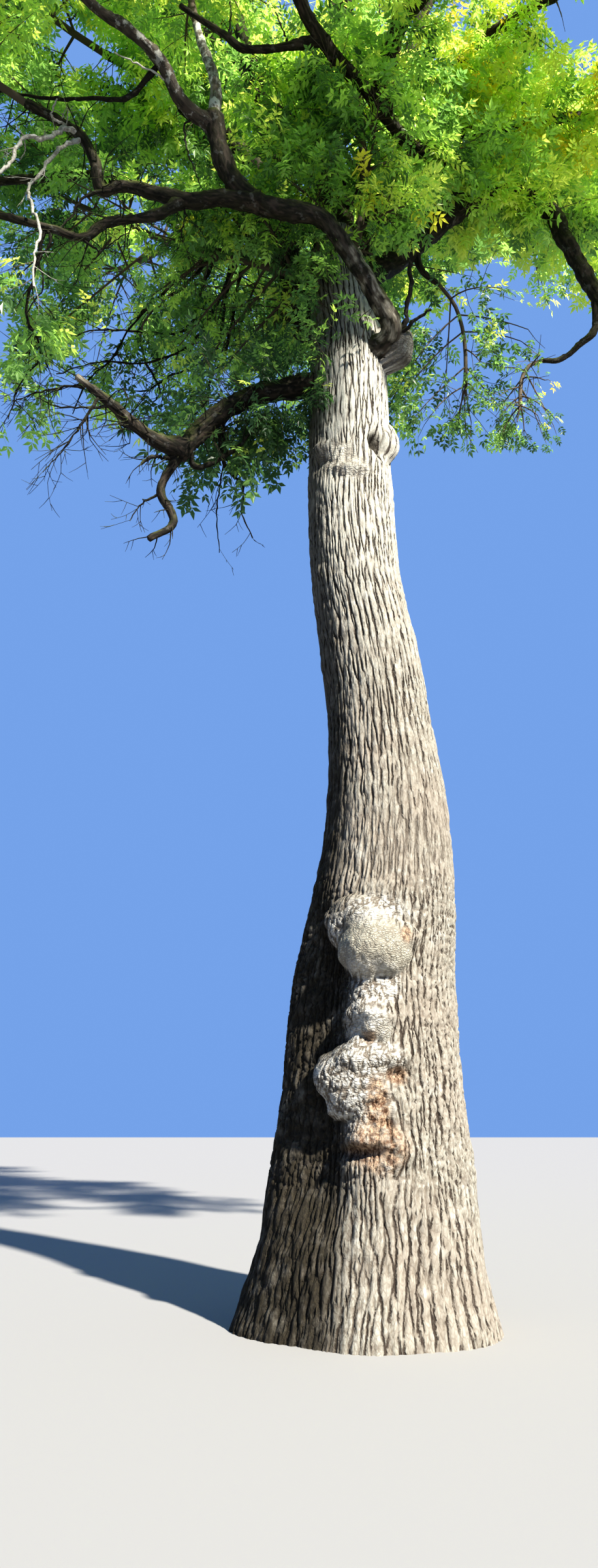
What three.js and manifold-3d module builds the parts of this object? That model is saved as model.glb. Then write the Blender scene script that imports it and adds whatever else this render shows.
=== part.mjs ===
// An old Oregon ash, whole: trunk, boughs, a dead bough and the masses of its crown.
// Millimetres, +Z up. The origin is the middle of the flat cut under the trunk, and -Y is the
// side that faces the viewer. Bearings are degrees seen from above, anticlockwise from +X.
import * as THREE from 'three';
import { mergeVertices } from 'three/addons/utils/BufferGeometryUtils.js';
import Module from 'manifold-3d';

const wasm = await Module();
wasm.setup();

// Driving dimensions of the trunk and the limbs
const GAP = 0.3; // between neighbouring solids
const TRUNK_TOP = 10600; // height of the fork
const TRUNK_SIDES = 18;
const FLARE_OUT = 210; // how far the root swellings stand out at the ground
const FLARE_HEIGHT = 900; // how quickly they fade with height
const FLARE_SHARPNESS = 7;
const COLLAR = 0.45; // share by which a limb is thicker where it leaves its parent
const COLLAR_FADE = 8; // power by which that thickening fades along the limb
const BOUGH_RADII = [88, 46]; // of an unseen bough
const BOUGH_STEPS = 4;
const BOUGH_BEND = 0.4; // where it bends, as a share of its span
const ASCENT = 0.175; // how far it rises at that bend, as a share of its span
const KINK = 0.05; // how far it strays from its line, as a share of its span
const ENTRY = 0.85; // where it ends in its mass, as a share of the mass's radius
const STOUT = 100; // radius from which a limb has six sides
const SLENDER = 40; // radius up to which a limb has one step in each stretch

// Driving dimensions of the masses of foliage
const STEM_RADII = [54, 34];
const STEM_SIDES = 3;
const STEM_STEPS = 3;
const STEM_BOW = 0.35; // how far a stem keeps its limb's direction, as a share of its reach
const STEM_LIFT = 0.3; // how much it turns upward past the middle of its space
const STEM_PAST = 0.5; // how far past the middle it ends, as a share of the space's radius
const STEM_FIT = 0.9; // its largest radius, as a share of that of the limb's tip
const FOOT_RISE = 35; // of a stem that leaves the trunk itself, in degrees
const TWIG_SHARE = 0.45; // radius of a twig's foot as a share of its stem's
const TWIG_TAPER = 0.65;
const TWIG_PLACES = [0.25, 0.575, 0.9]; // of the opposite pairs on a stem, as shares of its length
const TWIG_SPREADS = [1.3, 1.15, 1]; // angle of each pair from the stem, in radians
const TWIG_STRAY = 0.1; // most that a twig strays from that angle
const ROLL_STRAY = 0.35; // most that a pair strays from a right angle round from the last
const SHORTEST_TWIG = 250;
const DROOP = 0.25; // how far twigs and leaves sink toward the ground
const HANGING_DROOP = 0.6;
const LEAF_LENGTH = 980; // one leaf stands for a whole spray
const LEAF_WIDTH = 520;
const LEAF_THICK = 30; // at the crest of its ridge
const LEAF_BELLY = 0.36; // where a leaf is widest, as a share of its length
const LEAF_SIZES = [0.88, 1.12];
const LEAF_TILT = 1.1; // most that a leaf rolls about its own length, in radians
const LEAF_ROOT = 60; // how far the leaf at a twig's tip is sunk in it
const LEAF_ROOM = 0.62; // free past a twig's tip, as a share of a leaf's length
const LEAF_PLACES = [0.42, 0.78]; // of the pairs of leaves on a twig, as shares of its length
const LEAF_SPREAD = 0.9; // their angle from the twig, in radians
const LEAF_STRAY = 0.3; // most that they roll round the twig
const TIP_SPREAD = 0.05; // angle of the leaf at a twig's tip
const TIP_FAN = [[0.1, 0], [0.9, 0.6], [0.9, 0.6 + Math.PI]]; // spread and roll at a stem's tip
const FULL_SPACE = 1500; // radius of the smallest space with leaves of full size
const OWN_SPACE = 0.03; // strip kept free between the spaces of two masses
const CLEAR = 45; // a twig or leaf passes no nearer to a limb than this
const STRIDE = 50; // of the search for the edge of a space

// The trunk from the ground to the fork: height, sideways lean of its middle, radius
const TRUNK_RINGS = [
  [0, -40, 840],
  [350, -30, 800],
  [800, -15, 765],
  [1300, 0, 735],
  [2000, 10, 700],
  [2660, 30, 660],
  [3220, 100, 625],
  [3810, 155, 560],
  [4410, 155, 515],
  [5040, 112, 470],
  [5700, 42, 455],
  [6380, -60, 428],
  [7090, -105, 418],
  [7830, -110, 402],
  [8610, -110, 392],
  [9420, -140, 355],
  [9840, -190, 325],
  [10270, -215, 290],
  [TRUNK_TOP, -225, 215],
];

// Bearing and strength of each swelling of the root flare
const FLARES = [
  [195, 1.3],
  [262, 0.8],
  [318, 1.0],
  [20, 0.8],
  [85, 1.1],
  [140, 0.9],
];

// Burls and knobs: height, bearing, how far their middle is from the trunk's axis, and their
// half sizes outward, sideways and upward
const BURLS = [
  [2870, -90, 560, 320, 250, 310],
  [3060, -114, 520, 240, 260, 230],
  [2240, -97, 600, 250, 190, 165],
  [1810, -106, 590, 300, 300, 290],
  [1300, -88, 640, 210, 230, 230],
  [8020, -22, 330, 150, 150, 140],
  [7600, -95, 345, 110, 240, 75],
  [8980, -26, 535, 165, 160, 215],
];

// Limbs whose course can be seen. at is the distance up the parent where the limb starts, radii
// are those at its two ends, and each stretch of a course is its length, bearing and rise.
const LIMBS = [
  {
    name: 'front_bough',
    on: 'trunk',
    at: 8880,
    radii: [115, 90],
    course: [[560, -41, 13], [440, -128, 47], [465, -143, 44], [420, -155, 39], [540, -169, 3],
      [425, -160, 38], [605, -142, 69]],
  },
  {
    name: 'front_bough_upright',
    on: 'front_bough',
    at: 3395,
    radii: [58, 42],
    course: [[550, 83, 88], [680, 146, 74], [360, 146, 76]],
  },
  {
    name: 'front_bough_reach',
    on: 'front_bough',
    at: 3375,
    radii: [64, 36],
    course: [[350, -144, 9], [395, -133, 43], [365, -144, 21], [370, -148, 10], [675, -140, 24]],
  },
  {
    name: 'left_low_bough',
    on: 'front_bough',
    at: 2470,
    radii: [72, 40],
    course: [[335, -173, 4], [390, -178, -5], [565, -179, 16], [265, 179, -7], [320, -139, 72],
      [340, -162, 55], [510, -161, 20]],
  },
  {
    name: 'left_low_branch',
    on: 'left_low_bough',
    at: 740,
    radii: [48, 26],
    course: [[385, -168, -42], [440, -171, -19], [300, -169, -45], [340, -162, 3], [630, -164, 3]],
  },
  {
    name: 'right_bough',
    on: 'trunk',
    at: 9880,
    radii: [135, 100],
    course: [[1130, 22, 44], [860, 10, 49], [720, 10, 37]],
  },
  {
    name: 'right_bough_fall',
    on: 'right_bough',
    at: 2640,
    radii: [106, 58],
    course: [[650, -3, -24], [560, -26, -71], [925, -8, -70], [495, -27, -56], [520, -7, -9],
      [655, -1, 22]],
  },
  {
    name: 'right_hanging_branch',
    on: 'right_bough_fall',
    at: 2000,
    radii: [46, 24],
    course: [[460, 140, -84], [290, -172, -50], [290, 178, -41], [205, -179, -6]],
  },
  {
    name: 'right_inner_branch',
    on: 'right_bough',
    at: 1290,
    radii: [44, 24],
    course: [[300, 27, -73], [250, 14, -37]],
  },
  {
    name: 'over_bough',
    on: 'right_bough',
    at: 1990,
    radii: [84, 50],
    course: [[515, -119, 39], [530, -137, -8], [625, -132, 11], [585, -136, 7], [565, -128, 17],
      [700, -100, 25]],
  },
  {
    name: 'over_branch',
    on: 'over_bough',
    at: 2420,
    radii: [44, 24],
    course: [[335, 178, -14], [450, -172, -15], [245, -162, 24], [505, -167, 30]],
  },
  {
    name: 'dead_bough',
    on: 'trunk',
    at: 8780,
    radii: [112, 84],
    course: [[765, -172, -18], [460, -165, -29], [400, -158, -46], [580, -151, -57]],
  },
  {
    name: 'dead_bough_tip',
    on: 'dead_bough',
    at: 2130,
    radii: [82, 26],
    course: [[350, -152, 6], [475, -145, 24], [345, -151, 27]],
  },
  {
    name: 'dead_hanging_branch',
    on: 'dead_bough',
    at: 2150,
    radii: [44, 32],
    course: [[305, 166, -59], [195, -169, -78], [215, 9, -61], [145, 10, -86], [260, -168, -38]],
  },
  {
    name: 'left_leader',
    on: 'trunk',
    at: 9200,
    radii: [150, 78],
    course: [[640, 154, 44], [630, 141, 75], [930, 146, 78], [1200, 124, 78], [1500, 130, 80],
      [1300, 150, 76]],
  },
  {
    name: 'centre_leader',
    on: 'trunk',
    at: 10150,
    radii: [185, 80],
    course: [[600, 104, 80], [900, 105, 77], [1200, 96, 80], [1500, 60, 83], [1500, 40, 82],
      [1500, 90, 86]],
  },
  {
    name: 'right_leader',
    on: 'trunk',
    at: 10150,
    radii: [140, 76],
    course: [[800, 50, 58], [1300, 28, 74], [1400, 40, 78], [1400, 10, 76]],
  },
];

// Masses of foliage: middle, radii and the limb that carries each. Where at is given, an unseen
// bough named after the mass is grown to it from that distance up the limb.
const MASSES = [
  {
    name: 'front_left',
    on: 'front_bough_reach',
    middle: [-3900, -3300, 12400],
    radii: [2150, 2050, 1800],
  },
  {
    name: 'front_high',
    on: 'front_bough_upright',
    middle: [-1950, -1150, 13900],
    radii: [1950, 1800, 1950],
  },
  {
    name: 'left_front',
    on: 'left_low_bough',
    middle: [-4500, -1700, 11800],
    radii: [1950, 1700, 1600],
  },
  {
    name: 'left_low',
    on: 'left_low_branch',
    middle: [-4900, -1900, 9950],
    radii: [1700, 1500, 1200],
  },
  {
    name: 'right_end',
    on: 'right_bough_fall',
    middle: [5100, 200, 10800],
    radii: [1950, 1950, 1700],
  },
  {
    name: 'right_spray',
    on: 'right_hanging_branch',
    hangs: true,
    middle: [1800, 250, 8850],
    radii: [700, 600, 600],
  },
  {
    name: 'trunk_right',
    on: 'right_inner_branch',
    hangs: true,
    middle: [1050, 500, 9850],
    radii: [1150, 1300, 1450],
  },
  {
    name: 'front',
    on: 'over_bough',
    middle: [-700, -3900, 13300],
    radii: [2150, 2150, 1950],
  },
  {
    name: 'trunk_left',
    on: 'trunk',
    foot: [9750, 195],
    middle: [-1100, 50, 10100],
    radii: [1150, 1100, 1200],
  },
  {
    name: 'fork',
    on: 'trunk',
    foot: [9980, -48],
    middle: [-50, -350, 11300],
    radii: [1550, 1250, 1300],
  },
  {
    name: 'left',
    on: 'left_leader',
    at: 1500,
    middle: [-2900, 1500, 12200],
    radii: [2150, 2050, 2150],
  },
  {
    name: 'far_left',
    on: 'left_leader',
    at: 2000,
    middle: [-5700, 500, 12300],
    radii: [1950, 1950, 1950],
  },
  {
    name: 'left_high',
    on: 'left_leader',
    at: 2900,
    middle: [-4200, 300, 14900],
    radii: [2050, 2050, 1950],
  },
  {
    name: 'back_left',
    on: 'left_leader',
    at: 3500,
    middle: [-3200, 4200, 14200],
    radii: [2150, 2150, 2050],
  },
  {
    name: 'upper_left',
    on: 'left_leader',
    at: 5000,
    middle: [-1900, 2500, 16600],
    radii: [1950, 1950, 1950],
  },
  {
    name: 'top_left',
    on: 'left_leader',
    middle: [-2100, -300, 17700],
    radii: [1950, 1950, 1950],
  },
  {
    name: 'centre_back',
    on: 'centre_leader',
    at: 900,
    middle: [200, 3100, 13100],
    radii: [1950, 1950, 1950],
  },
  {
    name: 'back',
    on: 'centre_leader',
    at: 2600,
    middle: [-400, 5700, 14900],
    radii: [2150, 2050, 2050],
  },
  {
    name: 'front_top',
    on: 'centre_leader',
    at: 3300,
    middle: [0, -2300, 16500],
    radii: [2050, 2050, 2050],
  },
  {
    name: 'top_back',
    on: 'centre_leader',
    at: 4900,
    middle: [700, 3300, 17500],
    radii: [1950, 1950, 1800],
  },
  {
    name: 'top',
    on: 'centre_leader',
    middle: [-100, 700, 19350],
    radii: [1950, 1950, 1900],
  },
  {
    name: 'right_back',
    on: 'right_leader',
    at: 1500,
    middle: [2900, 2500, 14300],
    radii: [2050, 2050, 2050],
  },
  {
    name: 'back_right',
    on: 'right_back_bough',
    at: 1500,
    middle: [3300, 4900, 16200],
    radii: [1950, 1950, 1800],
  },
  {
    name: 'upper_right',
    on: 'right_leader',
    middle: [2900, 400, 16600],
    radii: [1950, 1800, 1800],
  },
  {
    name: 'far_right',
    on: 'right_leader',
    at: 2100,
    middle: [5200, 900, 13800],
    radii: [2050, 2050, 1950],
  },
  {
    name: 'right_front',
    on: 'right_leader',
    at: 2600,
    middle: [3500, -1800, 13500],
    radii: [2150, 1950, 1950],
  },
  {
    name: 'front_right',
    on: 'over_bough',
    at: 1500,
    middle: [2100, -4300, 13200],
    radii: [2050, 1950, 1800],
  },
];

const UP = new THREE.Vector3(0, 0, 1);
const EAST = new THREE.Vector3(1, 0, 0);

// A stream of numbers from 0 to 1, the same for the same seed
function seeded(seed) {
  let state = seed | 0;
  return () => {
    state = (state + 0x6d2b79f5) | 0;
    let mixed = Math.imul(state ^ (state >>> 15), 1 | state);
    mixed = (mixed + Math.imul(mixed ^ (mixed >>> 7), 61 | mixed)) ^ mixed;
    return ((mixed ^ (mixed >>> 14)) >>> 0) / 4294967296;
  };
}

function heading(bearing, rise) {
  const turn = THREE.MathUtils.degToRad(bearing);
  const lift = THREE.MathUtils.degToRad(rise);
  const level = Math.cos(lift);
  return new THREE.Vector3(Math.cos(turn) * level, Math.sin(turn) * level, Math.sin(lift));
}

function toSolid(positions, faces) {
  const mesh = new wasm.Mesh({
    numProp: 3,
    vertProperties: new Float32Array(positions),
    triVerts: new Uint32Array(faces),
  });
  return new wasm.Manifold(mesh);
}

// Closed solid through rings of equally many points
function loft(rings) {
  const count = rings[0].length;
  const faces = [];
  for (let row = 0; row + 1 < rings.length; row += 1) {
    for (let side = 0; side < count; side += 1) {
      const a = row * count + side;
      const b = row * count + ((side + 1) % count);
      faces.push(a, b, b + count, a, b + count, a + count);
    }
  }
  const last = (rings.length - 1) * count;
  for (let side = 1; side + 1 < count; side += 1) {
    faces.push(0, side + 1, side);
    faces.push(last, last + side, last + side + 1);
  }
  return toSolid(rings.flat().flatMap((point) => point.toArray()), faces);
}

function geometryToSolid(geometry) {
  geometry.deleteAttribute('normal');
  geometry.deleteAttribute('uv');
  const merged = mergeVertices(geometry);
  return toSolid(merged.attributes.position.array, merged.index.array);
}

function toMesh(name, solid, color, roughness) {
  const { vertProperties, triVerts } = solid.getMesh();
  const geometry = new THREE.BufferGeometry();
  const positions = new Float32Array(vertProperties);
  geometry.setAttribute('position', new THREE.BufferAttribute(positions, 3));
  geometry.setIndex(new THREE.BufferAttribute(new Uint32Array(triVerts), 1));
  geometry.computeVertexNormals();
  const material = new THREE.MeshStandardMaterial({ color, roughness, metalness: 0 });
  const mesh = new THREE.Mesh(geometry, material);
  mesh.name = name;
  return mesh;
}

// The biggest body of a solid, without scraps
function largestBody(solid) {
  const bodies = solid.decompose();
  return bodies.reduce((best, body) => (body.volume() > best.volume() ? body : best));
}

// Points along a limb with the distance up it, the direction and the radius at each
function tracePath(points, radii, stepsEach, collar = 0) {
  const curve = new THREE.CatmullRomCurve3(points, false, 'catmullrom', 0.5);
  const steps = (points.length - 1) * stepsEach;
  const path = [];
  let distance = 0;
  for (let step = 0; step <= steps; step += 1) {
    const point = curve.getPoint(step / steps);
    if (step > 0) distance += point.distanceTo(path[step - 1].point);
    path.push({ point, distance, tangent: curve.getTangent(step / steps) });
  }
  for (const station of path) {
    const share = station.distance / distance;
    const taper = radii[0] + (radii[1] - radii[0]) * share;
    station.radius = taper * (1 + collar * (1 - share) ** COLLAR_FADE);
  }
  return path;
}

// The station at a distance up a path, or at its tip
function stationAt(path, distance) {
  const length = path.at(-1).distance;
  const wanted = Math.min(distance ?? length, length);
  const next = Math.max(1, path.findIndex((station) => station.distance >= wanted));
  const [low, high] = [path[next - 1], path[next]];
  const share = (wanted - low.distance) / (high.distance - low.distance);
  return {
    point: low.point.clone().lerp(high.point, share),
    tangent: low.tangent.clone().lerp(high.tangent, share).normalize(),
    radius: low.radius + (high.radius - low.radius) * share,
  };
}

// Rings of a tube that follows a path without twisting
function tubeRings(path, sides, grown) {
  const aside = Math.abs(path[0].tangent.z) > 0.9 ? EAST : UP;
  let across = new THREE.Vector3().crossVectors(path[0].tangent, aside);
  return path.map(({ point, tangent, radius }, index) => {
    across = across.clone().addScaledVector(tangent, -across.dot(tangent)).normalize();
    const along = new THREE.Vector3().crossVectors(tangent, across);
    const end = index === 0 ? -grown : Number(index === path.length - 1) * grown;
    return Array.from({ length: sides }, (_, side) => {
      const angle = (2 * Math.PI * side) / sides;
      return point.clone()
        .addScaledVector(tangent, end)
        .addScaledVector(across, Math.cos(angle) * (radius + grown))
        .addScaledVector(along, Math.sin(angle) * (radius + grown));
    });
  });
}

const trunkPath = TRUNK_RINGS.map(([height, lean, radius]) => ({
  point: new THREE.Vector3(lean, 0, height),
  distance: height,
  tangent: UP.clone(),
  radius,
}));
const paths = new Map([['trunk', trunkPath]]);

// How far the root flare stands out at an angle round the trunk, as a share of its full depth
function swellingAt(angle) {
  return FLARES.reduce((sum, [bearing, strength]) => {
    const off = Math.cos(angle - THREE.MathUtils.degToRad(bearing));
    return sum + strength * Math.max(0, off) ** FLARE_SHARPNESS;
  }, 0);
}

// The trunk, grown outward all over by the given distance
function makeTrunk(grown) {
  const rings = TRUNK_RINGS.map(([height, lean, radius]) => {
    const fade = Math.exp(-height / FLARE_HEIGHT);
    const level = height + Number(height === TRUNK_TOP) * grown;
    return Array.from({ length: TRUNK_SIDES }, (_, side) => {
      const angle = (2 * Math.PI * side) / TRUNK_SIDES;
      const out = radius + FLARE_OUT * fade * swellingAt(angle) + grown;
      return new THREE.Vector3(lean + out * Math.cos(angle), out * Math.sin(angle), level);
    });
  });
  return wasm.Manifold.union([loft(rings), ...BURLS.map((burl) => makeBurl(burl, grown))]);
}

function makeBurl([height, bearing, out, outward, sideways, upward], grown) {
  const axis = stationAt(trunkPath, height).point;
  const geometry = new THREE.IcosahedronGeometry(1, 1);
  geometry.scale(outward + grown, sideways + grown, upward + grown);
  geometry.rotateZ(THREE.MathUtils.degToRad(bearing));
  const middle = axis.addScaledVector(heading(bearing, 0), out);
  geometry.translate(middle.x, middle.y, height);
  return geometryToSolid(geometry);
}

// Points of a limb whose course is known
function coursePoints(limb) {
  const points = [stationAt(paths.get(limb.on), limb.at).point];
  for (const [length, bearing, rise] of limb.course) {
    points.push(points.at(-1).clone().addScaledVector(heading(bearing, rise), length));
  }
  return points;
}

// Points of an unseen bough: it sets off steeply and bends out to the edge of its mass
function reachPoints(mass, draw) {
  const start = stationAt(paths.get(mass.on), mass.at).point;
  const middle = new THREE.Vector3(...mass.middle);
  const aim = middle.clone().sub(start).normalize();
  const end = middle.clone().addScaledVector(aim, -ENTRY * spaceRadius(mass, aim));
  const span = start.distanceTo(end);
  const bend = start.clone().lerp(end, BOUGH_BEND).addScaledVector(UP, ASCENT * span);
  const points = new THREE.QuadraticBezierCurve3(start, bend, end).getPoints(BOUGH_STEPS);
  for (const point of points.slice(1, -1)) {
    const stray = heading(360 * draw(), 90 * (draw() - 0.5));
    point.addScaledVector(stray, KINK * span);
  }
  return points;
}

// Distance from a mass's middle to the edge of its space along a direction
function spaceRadius(mass, direction) {
  const [x, y, z] = mass.radii;
  return 1 / Math.hypot(direction.x / x, direction.y / y, direction.z / z);
}

// How far out a point lies in a mass's space: 0 at its middle, 1 at its edge
function depthIn(mass, point) {
  const offset = point.toArray().map((value, i) => (value - mass.middle[i]) / mass.radii[i]);
  return Math.hypot(...offset);
}

// Whether a point is in a mass's space and not in the strip between it and the next one's
function inOwnSpace(mass, point) {
  const depth = depthIn(mass, point);
  const others = MASSES.filter((other) => other !== mass);
  return depth < 1 && others.every((other) => depth + OWN_SPACE < depthIn(other, point));
}

// Distance from a point to where a direction leaves the mass's own space
function roomAhead(mass, start, direction) {
  let room = STRIDE;
  while (inOwnSpace(mass, start.clone().addScaledVector(direction, room))) room += STRIDE;
  return room - STRIDE;
}

// Whether two solids come nearer than the given room
function near(solid, other, room) {
  const [a, b] = [solid.boundingBox(), other.boundingBox()];
  const apart = [0, 1, 2].some((i) => a.min[i] > b.max[i] + room || b.min[i] > a.max[i] + room);
  return !apart && solid.minGap(other, room) < room;
}

// Whether a twig or leaf stays in its own space and clear of the limbs and the other stems
function fits(mass, points, solid) {
  const own = mass.foot ? [mass.name, 'trunk'] : [mass.name];
  const foreign = obstacles.filter(({ owner }) => !own.includes(owner));
  return points.every((point) => inOwnSpace(mass, point))
    && foreign.every(({ shape }) => !near(solid, shape, CLEAR));
}

// Where a stem leaves the trunk itself: a point inside it, with the way the stem heads outward
function trunkFoot(height, bearing) {
  return { ...stationAt(trunkPath, height), tangent: heading(bearing, FOOT_RISE) };
}

// The stem of a mass starts at its limb's tip and runs through the middle of its space
function stemPath(mass) {
  const tip = mass.foot ? trunkFoot(...mass.foot) : stationAt(paths.get(mass.on));
  const start = tip.point.clone().addScaledVector(tip.tangent, GAP);
  const middle = new THREE.Vector3(...mass.middle);
  const onward = middle.clone().sub(start).normalize();
  if (!mass.hangs) onward.addScaledVector(UP, STEM_LIFT).normalize();
  const end = middle.clone().addScaledVector(onward, STEM_PAST * spaceRadius(mass, onward));
  const bow = STEM_BOW * start.distanceTo(end);
  const bend = start.clone().addScaledVector(tip.tangent, bow);
  const points = new THREE.QuadraticBezierCurve3(start, bend, end).getPoints(STEM_STEPS);
  const path = tracePath(points, STEM_RADII, 1);
  path[0].tangent.copy(tip.tangent);
  for (const station of path) station.radius = Math.min(station.radius, STEM_FIT * tip.radius);
  return path;
}

// A level direction square to the given one, rolled round it
function sidewaysFrom(direction, roll) {
  return new THREE.Vector3().crossVectors(direction, UP).normalize().applyAxisAngle(direction, roll);
}

// Direction of a side shoot: turned out from its parent and rolled round it
function shootDirection(tangent, spread, roll) {
  return tangent.clone()
    .multiplyScalar(Math.cos(spread))
    .addScaledVector(sidewaysFrom(tangent, roll), Math.sin(spread))
    .normalize();
}

// The points of a leaf: root, tip, its two widest points and the crest of its ridge
function leafPoints(root, direction, tilt, scale) {
  const sideways = sidewaysFrom(direction, tilt);
  const face = new THREE.Vector3().crossVectors(sideways, direction);
  const tip = root.clone().addScaledVector(direction, LEAF_LENGTH * scale);
  const belly = root.clone().lerp(tip, LEAF_BELLY);
  return [
    root.clone(),
    tip,
    belly.clone().addScaledVector(sideways, 0.5 * LEAF_WIDTH * scale),
    belly.clone().addScaledVector(sideways, -0.5 * LEAF_WIDTH * scale),
    belly.clone().addScaledVector(face, LEAF_THICK),
  ];
}

const LEAF_FACES = [0, 2, 4, 0, 4, 3, 1, 4, 2, 1, 3, 4, 0, 3, 2, 1, 2, 3];

function leafSolid(points) {
  return toSolid(points.flatMap((point) => point.toArray()), LEAF_FACES);
}

// Grows one mass: opposite pairs of twigs up the stem, each pair a right angle round from the
// last, and on each twig a leaf at its tip and opposite pairs of leaves
function growMass(mass, seed) {
  const draw = seeded(seed);
  const strayed = (most) => (draw() - 0.5) * 2 * most;
  const stem = paths.get(mass.name);
  const tip = stem.at(-1);
  const droop = mass.hangs ? HANGING_DROOP : DROOP;
  const size = Math.min(1, mass.radii[0] / FULL_SPACE);
  const wood = [loft(tubeRings(stem, STEM_SIDES, 0))];
  const leaves = [];

  function addLeaf(carrier, base, tangent, spread, roll) {
    const direction = shootDirection(tangent, spread, roll).addScaledVector(UP, -droop).normalize();
    const tilt = strayed(LEAF_TILT);
    const scale = size * THREE.MathUtils.lerp(...LEAF_SIZES, draw());
    const points = leafPoints(base, direction, tilt, scale);
    const leaf = leafSolid(points);
    const others = [...leaves, ...wood.filter((part) => part !== carrier)];
    const crosses = others.some((other) => !leaf.intersect(other).isEmpty());
    if (!crosses && fits(mass, points.slice(1), leaf)) leaves.push(leaf);
  }

  function addTwig(station, spread, roll) {
    const direction = shootDirection(station.tangent, spread, roll);
    direction.addScaledVector(UP, -0.5 * droop).normalize();
    const room = roomAhead(mass, station.point, direction);
    const length = Math.max(SHORTEST_TWIG, room - LEAF_ROOM * LEAF_LENGTH);
    const end = station.point.clone().addScaledVector(direction, length);
    const foot = TWIG_SHARE * station.radius;
    const path = tracePath([station.point, end], [foot, TWIG_TAPER * foot], 1);
    const twig = loft(tubeRings(path, STEM_SIDES, 0));
    const turned = strayed(LEAF_STRAY);
    if (!fits(mass, [end], twig)) return;
    wood.push(twig);
    addLeaf(twig, end.clone().addScaledVector(direction, -LEAF_ROOT), direction, TIP_SPREAD, 0);
    for (const place of LEAF_PLACES) {
      const base = station.point.clone().lerp(end, place);
      for (const side of [0, Math.PI]) addLeaf(twig, base, direction, LEAF_SPREAD, side + turned);
    }
  }

  TWIG_PLACES.forEach((place, pair) => {
    const station = stationAt(stem, tip.distance * place);
    const roll = (pair * Math.PI) / 2 + strayed(ROLL_STRAY);
    for (const side of [0, Math.PI]) {
      addTwig(station, TWIG_SPREADS[pair] + strayed(TWIG_STRAY), roll + side);
    }
  });
  const root = tip.point.clone().addScaledVector(tip.tangent, -LEAF_ROOT);
  for (const [spread, roll] of TIP_FAN) addLeaf(wood[0], root, tip.tangent, spread, roll);
  const grown = wasm.Manifold.union([...wood, ...leaves]);
  return largestBody(mass.foot ? grown.subtract(cutters[0]) : grown);
}

const TRUNK_COLOR = '#a39a89';
const BOUGH_COLOR = '#6e6353';
const DEAD_COLOR = '#8d8474';
const LEAF_COLORS = ['#6f9b1f', '#86b52a', '#5b8a24', '#93bd35'];
const DEAD_LIMBS = ['dead_bough', 'dead_bough_tip', 'dead_hanging_branch', 'over_branch'];
const BARK_ROUGHNESS = 0.95;
const LEAF_ROUGHNESS = 0.6;
const BOUGH_SEED = 100;
const FOLIAGE_SEED = 200;

const group = new THREE.Group();
const cutters = [makeTrunk(GAP)]; // the trunk and limbs, each grown by the gap
const obstacles = [{ owner: 'trunk', shape: makeTrunk(0) }];
group.add(toMesh('trunk', obstacles[0].shape, TRUNK_COLOR, BARK_ROUGHNESS));

// Adds a limb, cut clear of every limb that was there before it
function addLimb(name, points, radii, stepsEach) {
  const path = tracePath(points, radii, stepsEach, COLLAR);
  paths.set(name, path);
  const sides = radii[0] > STOUT ? 6 : 5;
  const whole = loft(tubeRings(path, sides, 0));
  const limb = largestBody(cutters.reduce((solid, cutter) => solid.subtract(cutter), whole));
  cutters.push(loft(tubeRings(path, sides, GAP)));
  obstacles.push({ owner: name, shape: limb });
  const color = DEAD_LIMBS.includes(name) ? DEAD_COLOR : BOUGH_COLOR;
  group.add(toMesh(name, limb, color, BARK_ROUGHNESS));
}

for (const limb of LIMBS) {
  addLimb(limb.name, coursePoints(limb), limb.radii, limb.radii[0] > SLENDER ? 2 : 1);
}

MASSES.forEach((mass, index) => {
  if (mass.at === undefined) return;
  const bough = `${mass.name}_bough`;
  addLimb(bough, reachPoints(mass, seeded(BOUGH_SEED + index)), BOUGH_RADII, 1);
  mass.on = bough;
});

for (const mass of MASSES) {
  paths.set(mass.name, stemPath(mass));
  const shape = loft(tubeRings(paths.get(mass.name), STEM_SIDES, 0));
  obstacles.push({ owner: mass.name, shape });
}

MASSES.forEach((mass, index) => {
  const foliage = growMass(mass, FOLIAGE_SEED + index);
  const color = LEAF_COLORS[index % LEAF_COLORS.length];
  group.add(toMesh(`foliage_${mass.name}`, foliage, color, LEAF_ROUGHNESS));
});

export default group;
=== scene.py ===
"""An old Oregon ash: the looks of its bark, boughs, twigs and leaves, grown by the part's rule."""
import itertools
import math

import bpy
import numpy as np
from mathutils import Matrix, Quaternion, Vector, kdtree


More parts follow.
